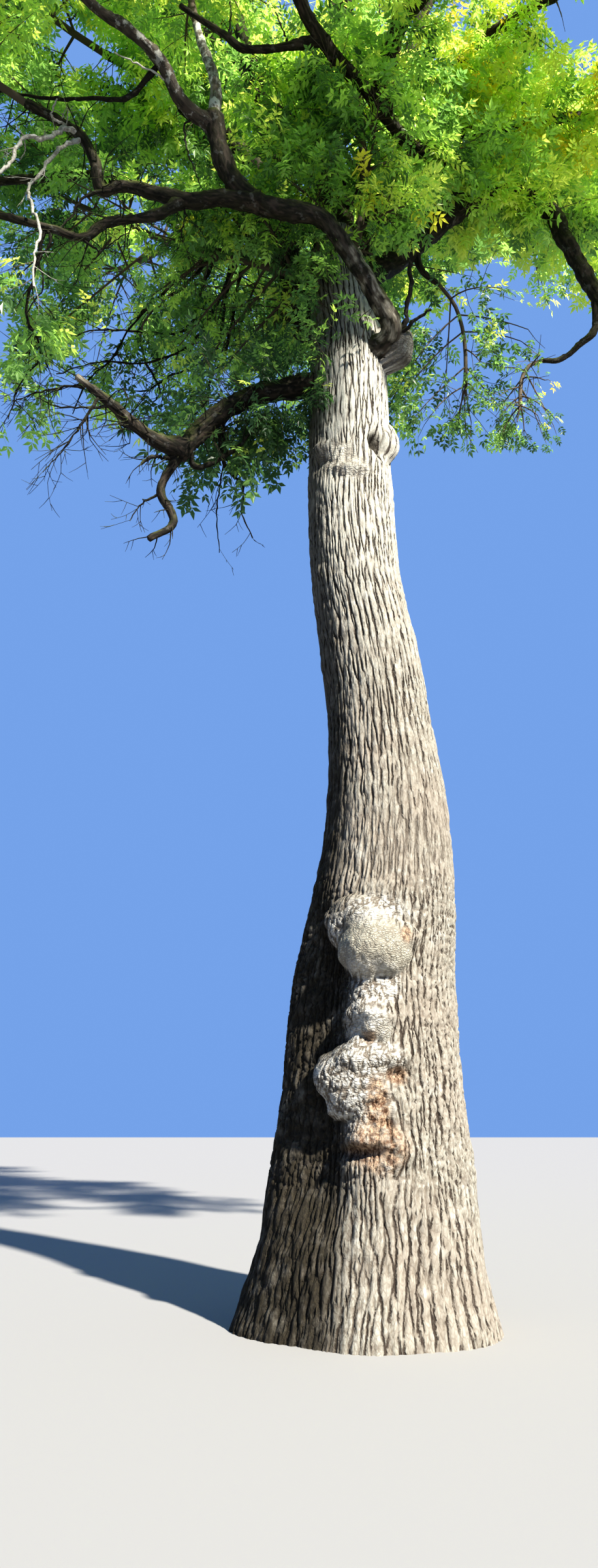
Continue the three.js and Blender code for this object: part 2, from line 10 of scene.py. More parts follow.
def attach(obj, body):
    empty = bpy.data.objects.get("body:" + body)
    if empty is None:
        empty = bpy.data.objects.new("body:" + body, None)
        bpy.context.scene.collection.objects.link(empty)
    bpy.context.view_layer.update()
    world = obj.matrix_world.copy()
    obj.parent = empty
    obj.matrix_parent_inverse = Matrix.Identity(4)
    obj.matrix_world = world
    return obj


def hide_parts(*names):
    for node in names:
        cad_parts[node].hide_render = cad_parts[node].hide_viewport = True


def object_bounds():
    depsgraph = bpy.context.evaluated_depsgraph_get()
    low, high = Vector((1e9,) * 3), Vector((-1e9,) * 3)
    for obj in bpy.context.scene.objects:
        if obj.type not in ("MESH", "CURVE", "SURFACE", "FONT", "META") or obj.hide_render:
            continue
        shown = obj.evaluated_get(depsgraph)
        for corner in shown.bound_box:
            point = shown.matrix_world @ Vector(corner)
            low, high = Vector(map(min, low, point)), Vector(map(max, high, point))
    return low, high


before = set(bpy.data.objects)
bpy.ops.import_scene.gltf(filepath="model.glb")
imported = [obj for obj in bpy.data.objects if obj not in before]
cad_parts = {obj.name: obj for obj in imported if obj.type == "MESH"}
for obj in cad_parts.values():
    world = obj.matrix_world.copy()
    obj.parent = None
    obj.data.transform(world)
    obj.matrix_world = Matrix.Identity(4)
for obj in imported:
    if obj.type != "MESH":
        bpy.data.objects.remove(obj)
cad_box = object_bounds()


def add_object(name, data):
    made = bpy.data.objects.new(name, data)
    bpy.context.scene.collection.objects.link(made)
    return made


# The camera stands where the photographer stood, looking up along +Y.
EYE = Vector((-0.62, -9.0, 1.6))
PITCH = math.radians(17.35)
# the photograph's middle and focal length in its own pixels
MIDDLE_X, MIDDLE_Y, FOCAL = 458, 1200, 1600
camera = add_object("camera", bpy.data.cameras.new("camera"))
camera.data.lens = 24
camera.data.sensor_width = 36
camera.location = EYE
camera.rotation_euler = (math.pi / 2 + PITCH, 0, 0)
bpy.context.scene.camera = camera

# ---- The part's own sizes, in millimetres -------------------------------------------------
MM = 0.001
GAP = 0.3
TRUNK_TOP = 10600
FLARE_OUT = 210
FLARE_HEIGHT = 900
FLARE_SHARPNESS = 7
COLLAR = 0.45
COLLAR_FADE = 8
BOUGH_RADII = (88, 46)
BOUGH_STEPS = 4
BOUGH_BEND = 0.4
ASCENT = 0.175
KINK = 0.05
ENTRY = 0.85
STEM_RADII = (54, 34)
STEM_STEPS = 3
STEM_BOW = 0.35
STEM_LIFT = 0.3
STEM_PAST = 0.5
STEM_FIT = 0.9
FOOT_RISE = 35
TWIG_SHARE = 0.45
TWIG_SPREADS = (1.3, 1.0)
DROOP = 0.25
HANGING_DROOP = 0.6
BOUGH_SEED = 100
FOLIAGE_SEED = 200

# height, place along x, radius
TRUNK_RINGS = [
    (0, -40, 840), (350, -30, 800), (800, -15, 765), (1300, 0, 735), (2000, 10, 700),
    (2660, 30, 660), (3220, 100, 625), (3810, 155, 560), (4410, 155, 515), (5040, 112, 470),
    (5700, 42, 455), (6380, -60, 428), (7090, -105, 418), (7830, -110, 402), (8610, -110, 392),
    (9420, -140, 355), (9840, -190, 325), (10270, -215, 290), (TRUNK_TOP, -225, 215),
]
# bearing and strength of the root flares
FLARES = [(195, 1.3), (262, 0.8), (318, 1.0), (20, 0.8), (85, 1.1), (140, 0.9)]
# height, bearing, distance out, half sizes outward, sideways and upward
BURLS = [
    (2850, -95, 560, 345, 310, 300),
    (3040, -116, 520, 240, 240, 230),
    (2240, -96, 600, 265, 205, 175),
    (1830, -108, 590, 300, 310, 290),
    (1300, -88, 640, 210, 230, 230),
    (7860, -27, 330, 180, 140, 205),
    (7750, -138, 330, 130, 130, 105),
    (9000, -26, 535, 165, 160, 205),
    (7440, -90, 335, 122, 200, 90),
]
# burls over which the bark runs on
BARKED = (1, 3, 4, 5, 6, 7, 8)
LOW_BURLS = 5
KNOB = 7
# name: parent, distance up it, radii, stretches of length, bearing and rise
LIMBS = {
    "front_bough": ("trunk", 8880, (115, 90), [
        (560, -41, 13), (440, -128, 47), (465, -143, 44), (420, -155, 39), (540, -169, 3),
        (425, -160, 38), (605, -142, 69)]),
    "front_bough_upright": ("front_bough", 3395, (58, 42), [
        (550, 83, 88), (680, 146, 74), (360, 146, 76)]),
    "front_bough_reach": ("front_bough", 3375, (64, 36), [
        (350, -144, 9), (395, -133, 43), (365, -144, 21), (370, -148, 10), (675, -140, 24)]),
    "left_low_bough": ("front_bough", 2470, (72, 40), [
        (335, -173, 4), (390, -178, -5), (565, -179, 16), (265, 179, -7), (320, -139, 72),
        (340, -162, 55), (510, -161, 20)]),
    "left_low_branch": ("left_low_bough", 740, (48, 26), [
        (385, -168, -42), (440, -171, -19), (300, -169, -45), (340, -162, 3), (630, -164, 3)]),
    "right_bough": ("trunk", 9880, (135, 100), [(1130, 22, 44), (860, 10, 49), (720, 10, 37)]),
    "right_bough_fall": ("right_bough", 2640, (106, 58), [
        (650, -3, -24), (560, -26, -71), (925, -8, -70), (495, -27, -56), (520, -7, -9),
        (655, -1, 22)]),
    "right_hanging_branch": ("right_bough_fall", 2000, (46, 24), [
        (460, 140, -84), (290, -172, -50), (290, 178, -41), (205, -179, -6)]),
    "right_inner_branch": ("right_bough", 1290, (44, 24), [(300, 27, -73), (250, 14, -37)]),
    "over_bough": ("right_bough", 1990, (84, 50), [
        (515, -119, 39), (530, -137, -8), (625, -132, 11), (585, -136, 7), (565, -128, 17),
        (700, -100, 25)]),
    "over_branch": ("over_bough", 2420, (44, 24), [
        (335, 178, -14), (450, -172, -15), (245, -162, 24), (505, -167, 30)]),
    "dead_bough": ("trunk", 8780, (112, 84), [
        (765, -172, -18), (460, -165, -29), (400, -158, -46), (580, -151, -57)]),
    "dead_bough_tip": ("dead_bough", 2130, (82, 26), [
        (350, -152, 6), (475, -145, 24), (345, -151, 27)]),
    "dead_hanging_branch": ("dead_bough", 2150, (44, 32), [
        (305, 166, -59), (195, -169, -78), (215, 9, -61), (145, 10, -86), (260, -168, -38)]),
    "left_leader": ("trunk", 9200, (150, 78), [
        (640, 154, 44), (630, 141, 75), (930, 146, 78), (1200, 124, 78), (1500, 130, 80),
        (1300, 150, 76)]),
    "centre_leader": ("trunk", 10150, (185, 80), [
        (600, 104, 80), (900, 105, 77), (1200, 96, 80), (1500, 60, 83), (1500, 40, 82),
        (1500, 90, 86)]),
    "right_leader": ("trunk", 10150, (140, 76), [
        (800, 50, 58), (1300, 28, 74), (1400, 40, 78), (1400, 10, 76)]),
}
DEAD_LIMBS = ("dead_bough", "dead_bough_tip", "dead_hanging_branch", "over_branch")
# name: middle, radii, limb that carries it, and the distance up that limb where an unseen bough of
# its own starts, or the height and bearing of its foot on the trunk
MASSES = {
    "front_left": ((-3900, -3300, 12400), (2150, 2050, 1800), "front_bough_reach", None),
    "front_high": ((-1950, -1150, 13900), (1950, 1800, 1950), "front_bough_upright", None),
    "left_front": ((-4500, -1700, 11800), (1950, 1700, 1600), "left_low_bough", None),
    "left_low": ((-4900, -1900, 9950), (1700, 1500, 1200), "left_low_branch", None),
    "right_end": ((5100, 200, 10800), (1950, 1950, 1700), "right_bough_fall", None),
    "right_spray": ((1800, 250, 8850), (700, 600, 600), "right_hanging_branch", None),
    "trunk_right": ((1050, 500, 9850), (1150, 1300, 1450), "right_inner_branch", None),
    "front": ((-700, -3900, 13300), (2150, 2150, 1950), "over_bough", None),
    "trunk_left": ((-1100, 50, 10100), (1150, 1100, 1200), "trunk", (9750, 195)),
    "fork": ((-50, -350, 11300), (1550, 1250, 1300), "trunk", (9980, -48)),
    "left": ((-2900, 1500, 12200), (2150, 2050, 2150), "left_leader", 1500),
    "far_left": ((-5700, 500, 12300), (1950, 1950, 1950), "left_leader", 2000),
    "left_high": ((-4200, 300, 14900), (2050, 2050, 1950), "left_leader", 2900),
    "back_left": ((-3200, 4200, 14200), (2150, 2150, 2050), "left_leader", 3500),
    "upper_left": ((-1900, 2500, 16600), (1950, 1950, 1950), "left_leader", 5000),
    "top_left": ((-2100, -300, 17700), (1950, 1950, 1950), "left_leader", None),
    "centre_back": ((200, 3100, 13100), (1950, 1950, 1950), "centre_leader", 900),
    "back": ((-400, 5700, 14900), (2150, 2050, 2050), "centre_leader", 2600),
    "front_top": ((0, -2300, 16500), (2050, 2050, 2050), "centre_leader", 3300),
    "top_back": ((700, 3300, 17500), (1950, 1950, 1800), "centre_leader", 4900),
    "top": ((-100, 700, 19350), (1950, 1950, 1900), "centre_leader", None),
    "right_back": ((2900, 2500, 14300), (2050, 2050, 2050), "right_leader", 1500),
    "back_right": ((3300, 4900, 16200), (1950, 1950, 1800), "right_back_bough", 1500),
    "upper_right": ((2900, 400, 16600), (1950, 1800, 1800), "right_leader", None),
    "far_right": ((5200, 900, 13800), (2050, 2050, 1950), "right_leader", 2100),
    "right_front": ((3500, -1800, 13500), (2150, 1950, 1950), "right_leader", 2600),
    "front_right": ((2100, -4300, 13200), (2050, 1950, 1800), "over_bough", 1500),
}
HANGING = ("right_spray", "trunk_right")
UP = Vector((0, 0, 1))


# ---- The part's rule --------------------------------------------------------------------
def seeded(seed):
    """A stream of numbers from 0 to 1, by mulberry32 as in the part, for the same seed."""
    mask = 2 ** 32 - 1
    state = seed

    def draw():
        nonlocal state
        state = (state + 0x6D2B79F5) & mask
        mixed = ((state ^ (state >> 15)) * (1 | state)) & mask
        mixed = ((mixed + (((mixed ^ (mixed >> 7)) * (61 | mixed)) & mask)) ^ mixed) & mask
        return ((mixed ^ (mixed >> 14)) & mask) / 2 ** 32

    return draw


def heading(bearing, rise):
    turn, lift = math.radians(bearing), math.radians(rise)
    flat = math.cos(lift)
    return Vector((math.cos(turn) * flat, math.sin(turn) * flat, math.sin(lift)))


def walk(start, course):
    """Points that stretches of length, bearing and rise lead to from a start."""
    points = [start]
    for length, bearing, rise in course:
        points.append(points[-1] + heading(bearing, rise) * length)
    return points


class Station:
    def __init__(self, point, tangent, radius, distance):
        self.point, self.tangent = point, tangent
        self.radius, self.distance = radius, distance


def trace(points, radii, steps_each, collar=0.0):
    """Stations along a smooth curve through points."""
    count = len(points)
    around = [2 * points[0] - points[1], *points, 2 * points[-1] - points[-2]]
    steps = (count - 1) * steps_each
    path, distance = [], 0.0
    for step in range(steps + 1):
        place = step / steps * (count - 1)
        first = min(int(place), count - 2)
        w = place - first
        p0, p1, p2, p3 = around[first:first + 4]
        t1, t2 = (p2 - p0) * 0.5, (p3 - p1) * 0.5
        b = 3 * (p2 - p1) - 2 * t1 - t2
        c = 2 * (p1 - p2) + t1 + t2
        point = p1 + t1 * w + b * w * w + c * w * w * w
        tangent = (t1 + 2 * b * w + 3 * c * w * w).normalized()
        if path:
            distance += (point - path[-1].point).length
        path.append(Station(point, tangent, 0.0, distance))
    for station in path:
        share = station.distance / distance
        taper = radii[0] + (radii[1] - radii[0]) * share
        station.radius = taper * (1 + collar * (1 - share) ** COLLAR_FADE)
    return path


def station_at(path, distance=None):
    """The station at a distance up a path, or at its tip."""
    wanted = path[-1].distance if distance is None else min(distance, path[-1].distance)
    after = next((i for i, s in enumerate(path) if s.distance >= wanted), len(path) - 1)
    low, high = path[max(1, after) - 1], path[max(1, after)]
    share = (wanted - low.distance) / (high.distance - low.distance)
    return Station(
        low.point.lerp(high.point, share),
        low.tangent.lerp(high.tangent, share).normalized(),
        low.radius + (high.radius - low.radius) * share,
        wanted,
    )


def bezier(start, bend, end, steps):
    return [
        start * (1 - t) ** 2 + bend * 2 * t * (1 - t) + end * t * t
        for t in (i / steps for i in range(steps + 1))
    ]


def space_radius(name, direction):
    x, y, z = MASSES[name][1]
    return 1 / math.hypot(direction.x / x, direction.y / y, direction.z / z)


MIDDLES, RADII = (np.array([mass[i] for mass in MASSES.values()], float) for i in (0, 1))
NAMES = list(MASSES)


def in_own_space(index, point):
    """Whether a point lies in a mass's space, and deeper in it than in any other."""
    depths = np.linalg.norm((np.array(point) - MIDDLES) / RADII, axis=1)
    return depths[index] < 1 and depths.argmin() == index


paths = {
    "trunk": [
        Station(Vector((lean, 0, height)), UP.copy(), radius, height)
        for height, lean, radius in TRUNK_RINGS
    ]
}
for name, (parent, at, radii, course) in LIMBS.items():
    paths[name] = trace(walk(station_at(paths[parent], at).point, course), radii, 12, COLLAR)

carriers = {}
for index, (name, (middle, _, parent, at)) in enumerate(MASSES.items()):
    carriers[name] = parent
    if at is None or isinstance(at, tuple):
        continue
    draw = seeded(BOUGH_SEED + index)
    start, middle = station_at(paths[parent], at).point, Vector(middle)
    aim = (middle - start).normalized()
    end = middle - aim * ENTRY * space_radius(name, aim)
    span = (end - start).length
    bend = start.lerp(end, BOUGH_BEND) + UP * ASCENT * span
    points = bezier(start, bend, end, BOUGH_STEPS)
    for point in points[1:-1]:
        bearing = 360 * draw()
        point += heading(bearing, 90 * (draw() - 0.5)) * KINK * span
    paths[name + "_bough"] = trace(points, BOUGH_RADII, 14, COLLAR)
    carriers[name] = name + "_bough"

stems = {}
for name, (middle, _, _, at) in MASSES.items():
    if isinstance(at, tuple):
        tip = station_at(paths["trunk"], at[0])
        tip.tangent = heading(at[1], FOOT_RISE)
    else:
        tip = station_at(paths[carriers[name]])
    start, middle = tip.point + tip.tangent * GAP, Vector(middle)
    onward = (middle - start).normalized()
    if name not in HANGING:
        onward = (onward + UP * STEM_LIFT).normalized()
    end = middle + onward * STEM_PAST * space_radius(name, onward)
    bend = start + tip.tangent * STEM_BOW * (end - start).length
    stems[name] = trace(bezier(start, bend, end, STEM_STEPS), STEM_RADII, 6)
    for station in stems[name]:
        station.radius = min(station.radius, STEM_FIT * tip.radius)


# ---- Noise ------------------------------------------------------------------------------
rng = np.random.default_rng(11)
SHUFFLE = np.tile(rng.permutation(256), 3)
SLOPES = rng.normal(size=(256, 3))
SLOPES /= np.linalg.norm(SLOPES, axis=1)[:, None]


def noise(points, scale=1.0, offset=0.0):
    """Smooth noise of about -1 to 1 at each row of points."""
    p = np.asarray(points, float) * scale + offset
    cell = np.floor(p).astype(int)
    part = p - cell
    fade = part ** 3 * (part * (part * 6 - 15) + 10)
    total = np.zeros(len(p))
    for corner in itertools.product((0, 1), repeat=3):
        i, j, k = ((cell + corner) & 255).T
        slope = SLOPES[SHUFFLE[SHUFFLE[SHUFFLE[i] + j] + k]]
        weight = np.prod(np.where(corner, fade, 1 - fade), axis=1)
        total += weight * np.einsum("ij,ij->i", slope, part - corner)
    return total * 1.6


def smooth(x, low, high):
    t = np.clip((x - low) / (high - low), 0, 1)
    return t * t * (3 - 2 * t)


# ---- Meshes -----------------------------------------------------------------------------
def new_object(name, verts, faces, materials, indices=None, attributes=None, smooth_faces=True):
    """A mesh object in metres from arrays, riding on the tree."""
    mesh = bpy.data.meshes.new(name)
    verts = np.asarray(verts, np.float32)
    faces = np.asarray(faces, np.int32)
    size = faces.shape[1]
    mesh.vertices.add(len(verts))
    mesh.vertices.foreach_set("co", verts.ravel())
    mesh.loops.add(faces.size)
    mesh.loops.foreach_set("vertex_index", faces.ravel())
    mesh.polygons.add(len(faces))
    mesh.polygons.foreach_set("loop_start", np.arange(0, faces.size, size, dtype=np.int32))
    mesh.update(calc_edges=True)
    mesh.polygons.foreach_set("use_smooth", np.full(len(faces), smooth_faces))
    for material in materials:
        mesh.materials.append(material)
    if indices is not None:
        mesh.polygons.foreach_set("material_index", np.asarray(indices, np.int32))
    for key, values in (attributes or {}).items():
        values = np.asarray(values, np.float32)
        kind = "FLOAT" if values.ndim == 1 else "FLOAT_VECTOR"
        field = "value" if values.ndim == 1 else "vector"
        mesh.attributes.new(key, kind, "POINT").data.foreach_set(field, values.ravel())
    mesh.validate()
    mesh.update()
    piece = add_object(name, mesh)
    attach(piece, "root")
    return piece


def grid_faces(rows, sides, first=0, closed=True):
    """Quads between rows of vertices, closed into rings or left open."""
    row, side = np.meshgrid(
        np.arange(rows - 1), np.arange(sides if closed else sides - 1), indexing="ij"
    )
    a = first + row * sides + side
    b = first + row * sides + (side + 1) % sides
    return np.stack([a, b, b + sides, a + sides], axis=-1).reshape(-1, 4)


def rings(path, sides):
    """Points, radii, distances, angles and unit circles square to a path, without twist."""
    points, tangents, radii, distances = (
        np.array([getattr(station, key) for station in path])
        for key in ("point", "tangent", "radius", "distance")
    )
    aside = Vector((1, 0, 0)) if abs(path[0].tangent.z) > 0.9 else UP
    across = np.empty_like(points)
    last = np.array(path[0].tangent.cross(aside))
    for i, tangent in enumerate(tangents):
        last = last - tangent * (last @ tangent)
        last /= np.linalg.norm(last)
        across[i] = last
    along = np.cross(tangents, across)
    turn = np.arange(sides) * 2 * math.pi / sides
    circles = across[:, None] * np.cos(turn)[:, None] + along[:, None] * np.sin(turn)[:, None]
    return points, radii, distances, turn, circles


class Tubes:
    """Thin tubes gathered for one joined piece."""

    def __init__(self):
        self.verts, self.faces, self.count = [], [], 0

    def add(self, path, sides):
        points, radii, _, _, circles = rings(path, sides)
        ring = points[:, None] + circles * radii[:, None, None]
        self.verts.append(ring.reshape(-1, 3) * MM)
        self.faces.append(grid_faces(len(path), sides, self.count))
        self.count += len(path) * sides

    def piece(self, name, material, attributes=()):
        """The joined piece; the named attributes are nought, but bark_at is the place itself."""
        verts = np.vstack(self.verts)
        marks = {key: verts if key == "bark_at" else np.zeros(len(verts)) for key in attributes}
        return new_object(name, verts, np.vstack(self.faces), [material], attributes=marks)


# ---- Materials --------------------------------------------------------------------------
class Nodes:
    """Short way to build one material's nodes."""

    def __init__(self, name, roughness, specular):
        self.material = bpy.data.materials.new(name)
        self.material.use_nodes = True
        self.tree = self.material.node_tree
        self.shader = self.tree.nodes["Principled BSDF"]
        self.fill(self.shader, {"Roughness": roughness, "Specular IOR Level": specular})

    def fill(self, node, inputs):
        """Links the inputs of a node, or gives them numbers, vectors or colours."""
        for key, value in inputs.items():
            socket = node.inputs[key]
            if isinstance(value, bpy.types.NodeSocket):
                self.tree.links.new(value, socket)
            else:
                socket.default_value = (*value, 1) if socket.type == "RGBA" else value

    def node(self, kind, output=0, inputs=None, **settings):
        """An output of a new node, or all of them for a slice."""
        made = self.tree.nodes.new("ShaderNode" + kind)
        for key, value in settings.items():
            setattr(made, key, value)
        self.fill(made, inputs or {})
        return made.outputs[output]

    def attribute(self, name, output="Fac"):
        return self.node("Attribute", output, attribute_name=name)

    def noise(self, place, scale, detail=3.0, roughness=0.5, output="Fac"):
        inputs = {"Vector": place, "Scale": scale, "Detail": detail, "Roughness": roughness}
        return self.node("TexNoise", output, inputs)

    def ramp(self, value, low, high, to=(0.0, 1.0)):
        ends = dict(zip(("From Min", "From Max", "To Min", "To Max"), (low, high, *to)))
        return self.node("MapRange", "Result", {"Value": value, **ends})

    def math(self, operation, a, b):
        return self.node("Math", 0, {0: a, 1: b}, operation=operation)

    def times(self, *values):
        product = values[0]
        for value in values[1:]:
            product = self.math("MULTIPLY", product, value)
        return product

    def rest(self, share):
        return self.math("SUBTRACT", 1.0, share)

    def most(self, a, b):
        return self.math("MAXIMUM", a, b)

    def parts(self, vector):
        return self.node("SeparateXYZ", slice(None), {0: vector})

    def stretched(self, place, scale):
        return self.node("Mapping", 0, {"Vector": place, "Scale": scale})

    def crackle(self, place, scale, width):
        """0 in the cracks between small plates and 1 on them."""
        inputs = {"Vector": place, "Scale": scale}
        edge = self.node("TexVoronoi", "Distance", inputs, feature="DISTANCE_TO_EDGE")
        return self.ramp(edge, 0.0, width)

    def mix(self, share, a, b):
        return self.node("Mix", 2, {0: share, 6: a, 7: b}, data_type="RGBA")

    def bump(self, height, strength, distance, below=None):
        inputs = {"Strength": strength, "Distance": distance, "Height": height}
        if below is not None:
            inputs["Normal"] = below
        return self.node("Bump", 0, inputs)

    def layers(self, tone, *rows):
        """A tone with colours laid over it, each by its own share."""
        for share, color in rows:
            tone = self.mix(share, tone, color)
        return tone


def trunk_material():
    m = Nodes("furrowed_bark", 0.88, 0.2)
    world = m.node("TexCoord", "Object")
    burl, moss_at, decay_at = m.parts(m.attribute("share", "Vector"))
    shade, scales = m.attribute("furrow_and_shade"), m.attribute("scales")
    height = m.parts(world)[2]
    plain = m.rest(burl)

    # furrows, from the lines that also shape the relief
    wobble = m.times(m.math("SUBTRACT", m.noise(world, 22, 3, 0.6), 0.5), 0.42)
    cuts = []
    for zone in LINES:
        *lines, zone_share = m.parts(m.attribute(zone, "Vector"))
        for family, line in enumerate(lines):
            near = m.math("PINGPONG", m.math("ADD", line, wobble), 0.5)
            strength = m.ramp(m.noise(world, 3.1 + family, 2), 0.32 + 0.06 * family, 0.5)
            cuts.append(m.times(m.rest(m.ramp(near, 0.03, 0.12)), strength, zone_share))
    cut = m.most(m.most(*cuts[:2]), m.most(*cuts[2:]))
    cut = m.times(cut, m.ramp(shade, 0.15, 0.45), plain, m.ramp(scales, 0.0, 1.0, (1.0, 0.1)))

    # small blocks on the ridges, and the crackle of burls and scales
    flat = m.stretched(world, (1, 1, 0.42))
    blocks = m.crackle(flat, 34, 0.16)
    inputs = {0: m.noise(world, 12, 2, 0.5, "Color"), "Scale": 0.05}
    shift = m.node("VectorMath", 0, inputs, operation="SCALE")
    inputs = {0: m.stretched(world, (0.6, 0.6, 1.25)), 1: shift}
    drift = m.node("VectorMath", 0, inputs, operation="ADD")
    small = m.crackle(drift, 52, 0.24)
    chips = m.times(m.rest(m.crackle(drift, 34, 0.20)), scales)
    knobbly = m.rest(m.times(burl, m.rest(small)))

    fine = m.noise(flat, 60, 5, 0.7)
    fleck = m.ramp(fine, 0.36, 0.64)
    low_scales = m.times(scales, m.ramp(height, 4.2, 3.6, (0.0, 0.85)))
    crumbs = m.ramp(m.noise(world, 26, 4, 0.7), 0.42, 0.60)
    rot = m.mix(crumbs, (0.07, 0.034, 0.018), (0.34, 0.245, 0.165))
    # how strongly the painted shade darkens the bark, patch by patch
    painted_shade_strength = m.ramp(m.noise(world, 7, 4, 0.6), 0.3, 0.5, (0.70, 0.97))
    tone = m.layers(
        m.mix(fleck, (0.15, 0.138, 0.110), (0.310, 0.302, 0.260)),
        # brown and pale patches
        (m.ramp(m.noise(world, 1.4, 4, 0.6), 0.40, 0.62), (0.225, 0.203, 0.168)),
        (m.ramp(m.noise(world, 5.5, 4, 0.6), 0.56, 0.72, (0.0, 0.6)), (0.38, 0.376, 0.335)),
        # joints between the blocks
        (m.times(m.rest(blocks), m.times(plain, 0.45)), (0.11, 0.085, 0.063)),
        # painted light: the upper stretch made paler, where the sun falls on it
        (m.ramp(height, 5.0, 8.0, (0.0, 0.55)), (0.48, 0.47, 0.41)),
        # burls and the cracks on them
        (m.times(burl, 0.65), (0.41, 0.395, 0.32)),
        (m.times(m.rest(knobbly), 0.5), (0.12, 0.093, 0.063)),
        # the relief's hollows, darker partly in their own bark and partly as painted shade, then
        # scales, chips and the furrows' floors
        (m.times(shade, 0.68), (0.085, 0.066, 0.050)),
        (m.times(low_scales, m.ramp(shade, 0.2, 0.7, (1.0, 0.0))), (0.42, 0.41, 0.37)),
        (m.times(chips, 0.32), (0.085, 0.066, 0.050)),
        (m.times(cut, 0.95), (0.027, 0.019, 0.014)),
        # painted shade over the shaded side, the knob and the hollows, then moss and rot
        (
            m.times(m.attribute("painted_shade"), painted_shade_strength),
            m.mix(fleck, (0.007, 0.0055, 0.0035), (0.025, 0.020, 0.011)),
        ),
        (m.times(moss_at, m.ramp(m.noise(world, 9, 4, 0.6), 0.42, 0.58)), (0.085, 0.098, 0.018)),
        (m.times(decay_at, m.ramp(m.noise(world, 14, 4, 0.6), 0.3, 0.52)), rot),
    )
    rough = m.bump(m.rest(cut), 0.9, 0.010)
    rough = m.bump(m.times(blocks, plain), 0.35, 0.004, rough)
    rough = m.bump(m.math("SUBTRACT", knobbly, chips), 0.75, 0.008, rough)
    m.fill(m.shader, {"Base Color": tone, "Normal": m.bump(fine, 0.7, 0.006, rough)})
    return m.material


def bough_material(name, pale, dark, moss, lichen):
    """Bark of boughs and branches, with moss on top and pale lichen in patches."""
    m = Nodes(name, 0.85, 0.2)
    world = m.node("TexCoord", "Object")
    fibre = m.noise(m.attribute("bark_at", "Vector"), 40, 4, 0.65)
    grain = m.ramp(fibre, 0.38, 0.62)
    spots = m.ramp(m.noise(world, 11, 4, 0.65), 0.60 - 0.12 * lichen, 0.66 - 0.1 * lichen)
    top = m.ramp(m.parts(m.node("NewGeometry", "Normal"))[2], -0.1, 0.6)
    tufts = m.ramp(m.noise(world, 6, 4, 0.65), 0.44, 0.56, (0.0, moss))
    bark = m.layers(
        m.mix(grain, dark, pale),
        (m.attribute("foot"), m.mix(grain, (0.105, 0.092, 0.068), (0.285, 0.262, 0.205))),
        # cracks darker, partly in their own bark and partly as painted shade
        (m.ramp(m.attribute("furrow_and_shade"), 0.3, 1.0, (0.0, 0.85)), (0.05, 0.038, 0.028)),
        (m.times(spots, lichen), (0.36, 0.37, 0.34)),
        (m.times(top, tufts), (0.058, 0.072, 0.013)),
    )
    rough = m.bump(m.noise(world, 70, 3, 0.6), 0.5, 0.005, m.bump(fibre, 0.8, 0.010))
    m.fill(m.shader, {"Base Color": bark, "Normal": rough})
    return m.material


def one_tone(name, color, roughness=0.8, specular=0.2):
    m = Nodes(name, roughness, specular)
    m.fill(m.shader, {"Base Color": color})
    return m.material


def leaf_material(name, color, glow):
    """One tint of leaf: a satin face that lets light through."""
    m = Nodes(name, 0.36, 0.55)
    m.fill(m.shader, {"Base Color": color})
    through = m.node("BsdfTranslucent", 0, {"Color": glow})
    mixed = m.node("MixShader", 0, {0: 0.62, 1: m.shader.outputs[0], 2: through})
    m.fill(m.tree.nodes["Material Output"], {"Surface": mixed})
    return m.material


# ---- Trunk ------------------------------------------------------------------------------
SIDES = 512
# metres between rows, also where the low burls are; and where one piece of the trunk ends
ROW_STEP, FINE_STEP = 0.045, 0.018
LOW_BURL_ZONE = (1.0, 3.5)
PIECE_ENDS = (2.2, 4.5)
heights = [0.0]
while heights[-1] < TRUNK_TOP * MM:
    fine = LOW_BURL_ZONE[0] < heights[-1] < LOW_BURL_ZONE[1]
    heights.append(min(heights[-1] + (FINE_STEP if fine else ROW_STEP), TRUNK_TOP * MM))
heights = np.array(heights)
knots = np.array(TRUNK_RINGS, float) * MM
# the seam lies on the far side
angles = math.pi / 2 + np.arange(SIDES + 1) * 2 * math.pi / SIDES
COLUMNS = SIDES + 1
Z, A = np.meshgrid(heights, angles, indexing="ij")
z, a = Z.ravel(), A.ravel()
out_x, out_y = np.cos(a), np.sin(a)


def curve_through(values, at):
    """Smooth values between the knots of the trunk's rings."""
    slopes = np.gradient(values, knots[:, 0])
    i = np.clip(np.searchsorted(knots[:, 0], at) - 1, 0, len(knots) - 2)
    h = knots[i + 1, 0] - knots[i, 0]
    t = (at - knots[i, 0]) / h
    return (
        values[i] * (2 * t ** 3 - 3 * t ** 2 + 1) + slopes[i] * h * (t ** 3 - 2 * t ** 2 + t)
        + values[i + 1] * (3 * t ** 2 - 2 * t ** 3) + slopes[i + 1] * h * (t ** 3 - t ** 2)
    )


def round_trunk(around, up, offset=0.0):
    """Noise over the trunk's side, with so many units round it and so many for each metre up."""
    reach = around / (2 * math.pi)
    return noise(np.stack([reach * out_x, reach * out_y, z * up], axis=1), 1.0, offset)


def on_side(surface):
    """Places on the trunk's side at distances from its middle line."""
    return np.stack([lean + surface * out_x, surface * out_y, z], axis=1)


def between(start, full, ebb, end):
    """1 over a stretch of the trunk's height, fading at both ends."""
    return smooth(z, start, full) * (1 - smooth(z, ebb, end))


lean = curve_through(knots[:, 1], z)
radius = curve_through(knots[:, 2], z)
swelling = sum(
    strength * np.maximum(0, np.cos(a - math.radians(bearing))) ** FLARE_SHARPNESS
    for bearing, strength in FLARES
)
surface = radius + FLARE_OUT * MM * np.exp(-z / (FLARE_HEIGHT * MM)) * swelling
at_surface = on_side(surface)
surface = surface * (1 + 0.035 * noise(at_surface, 1.3) + 0.012 * noise(at_surface, 4.0, 9.0))
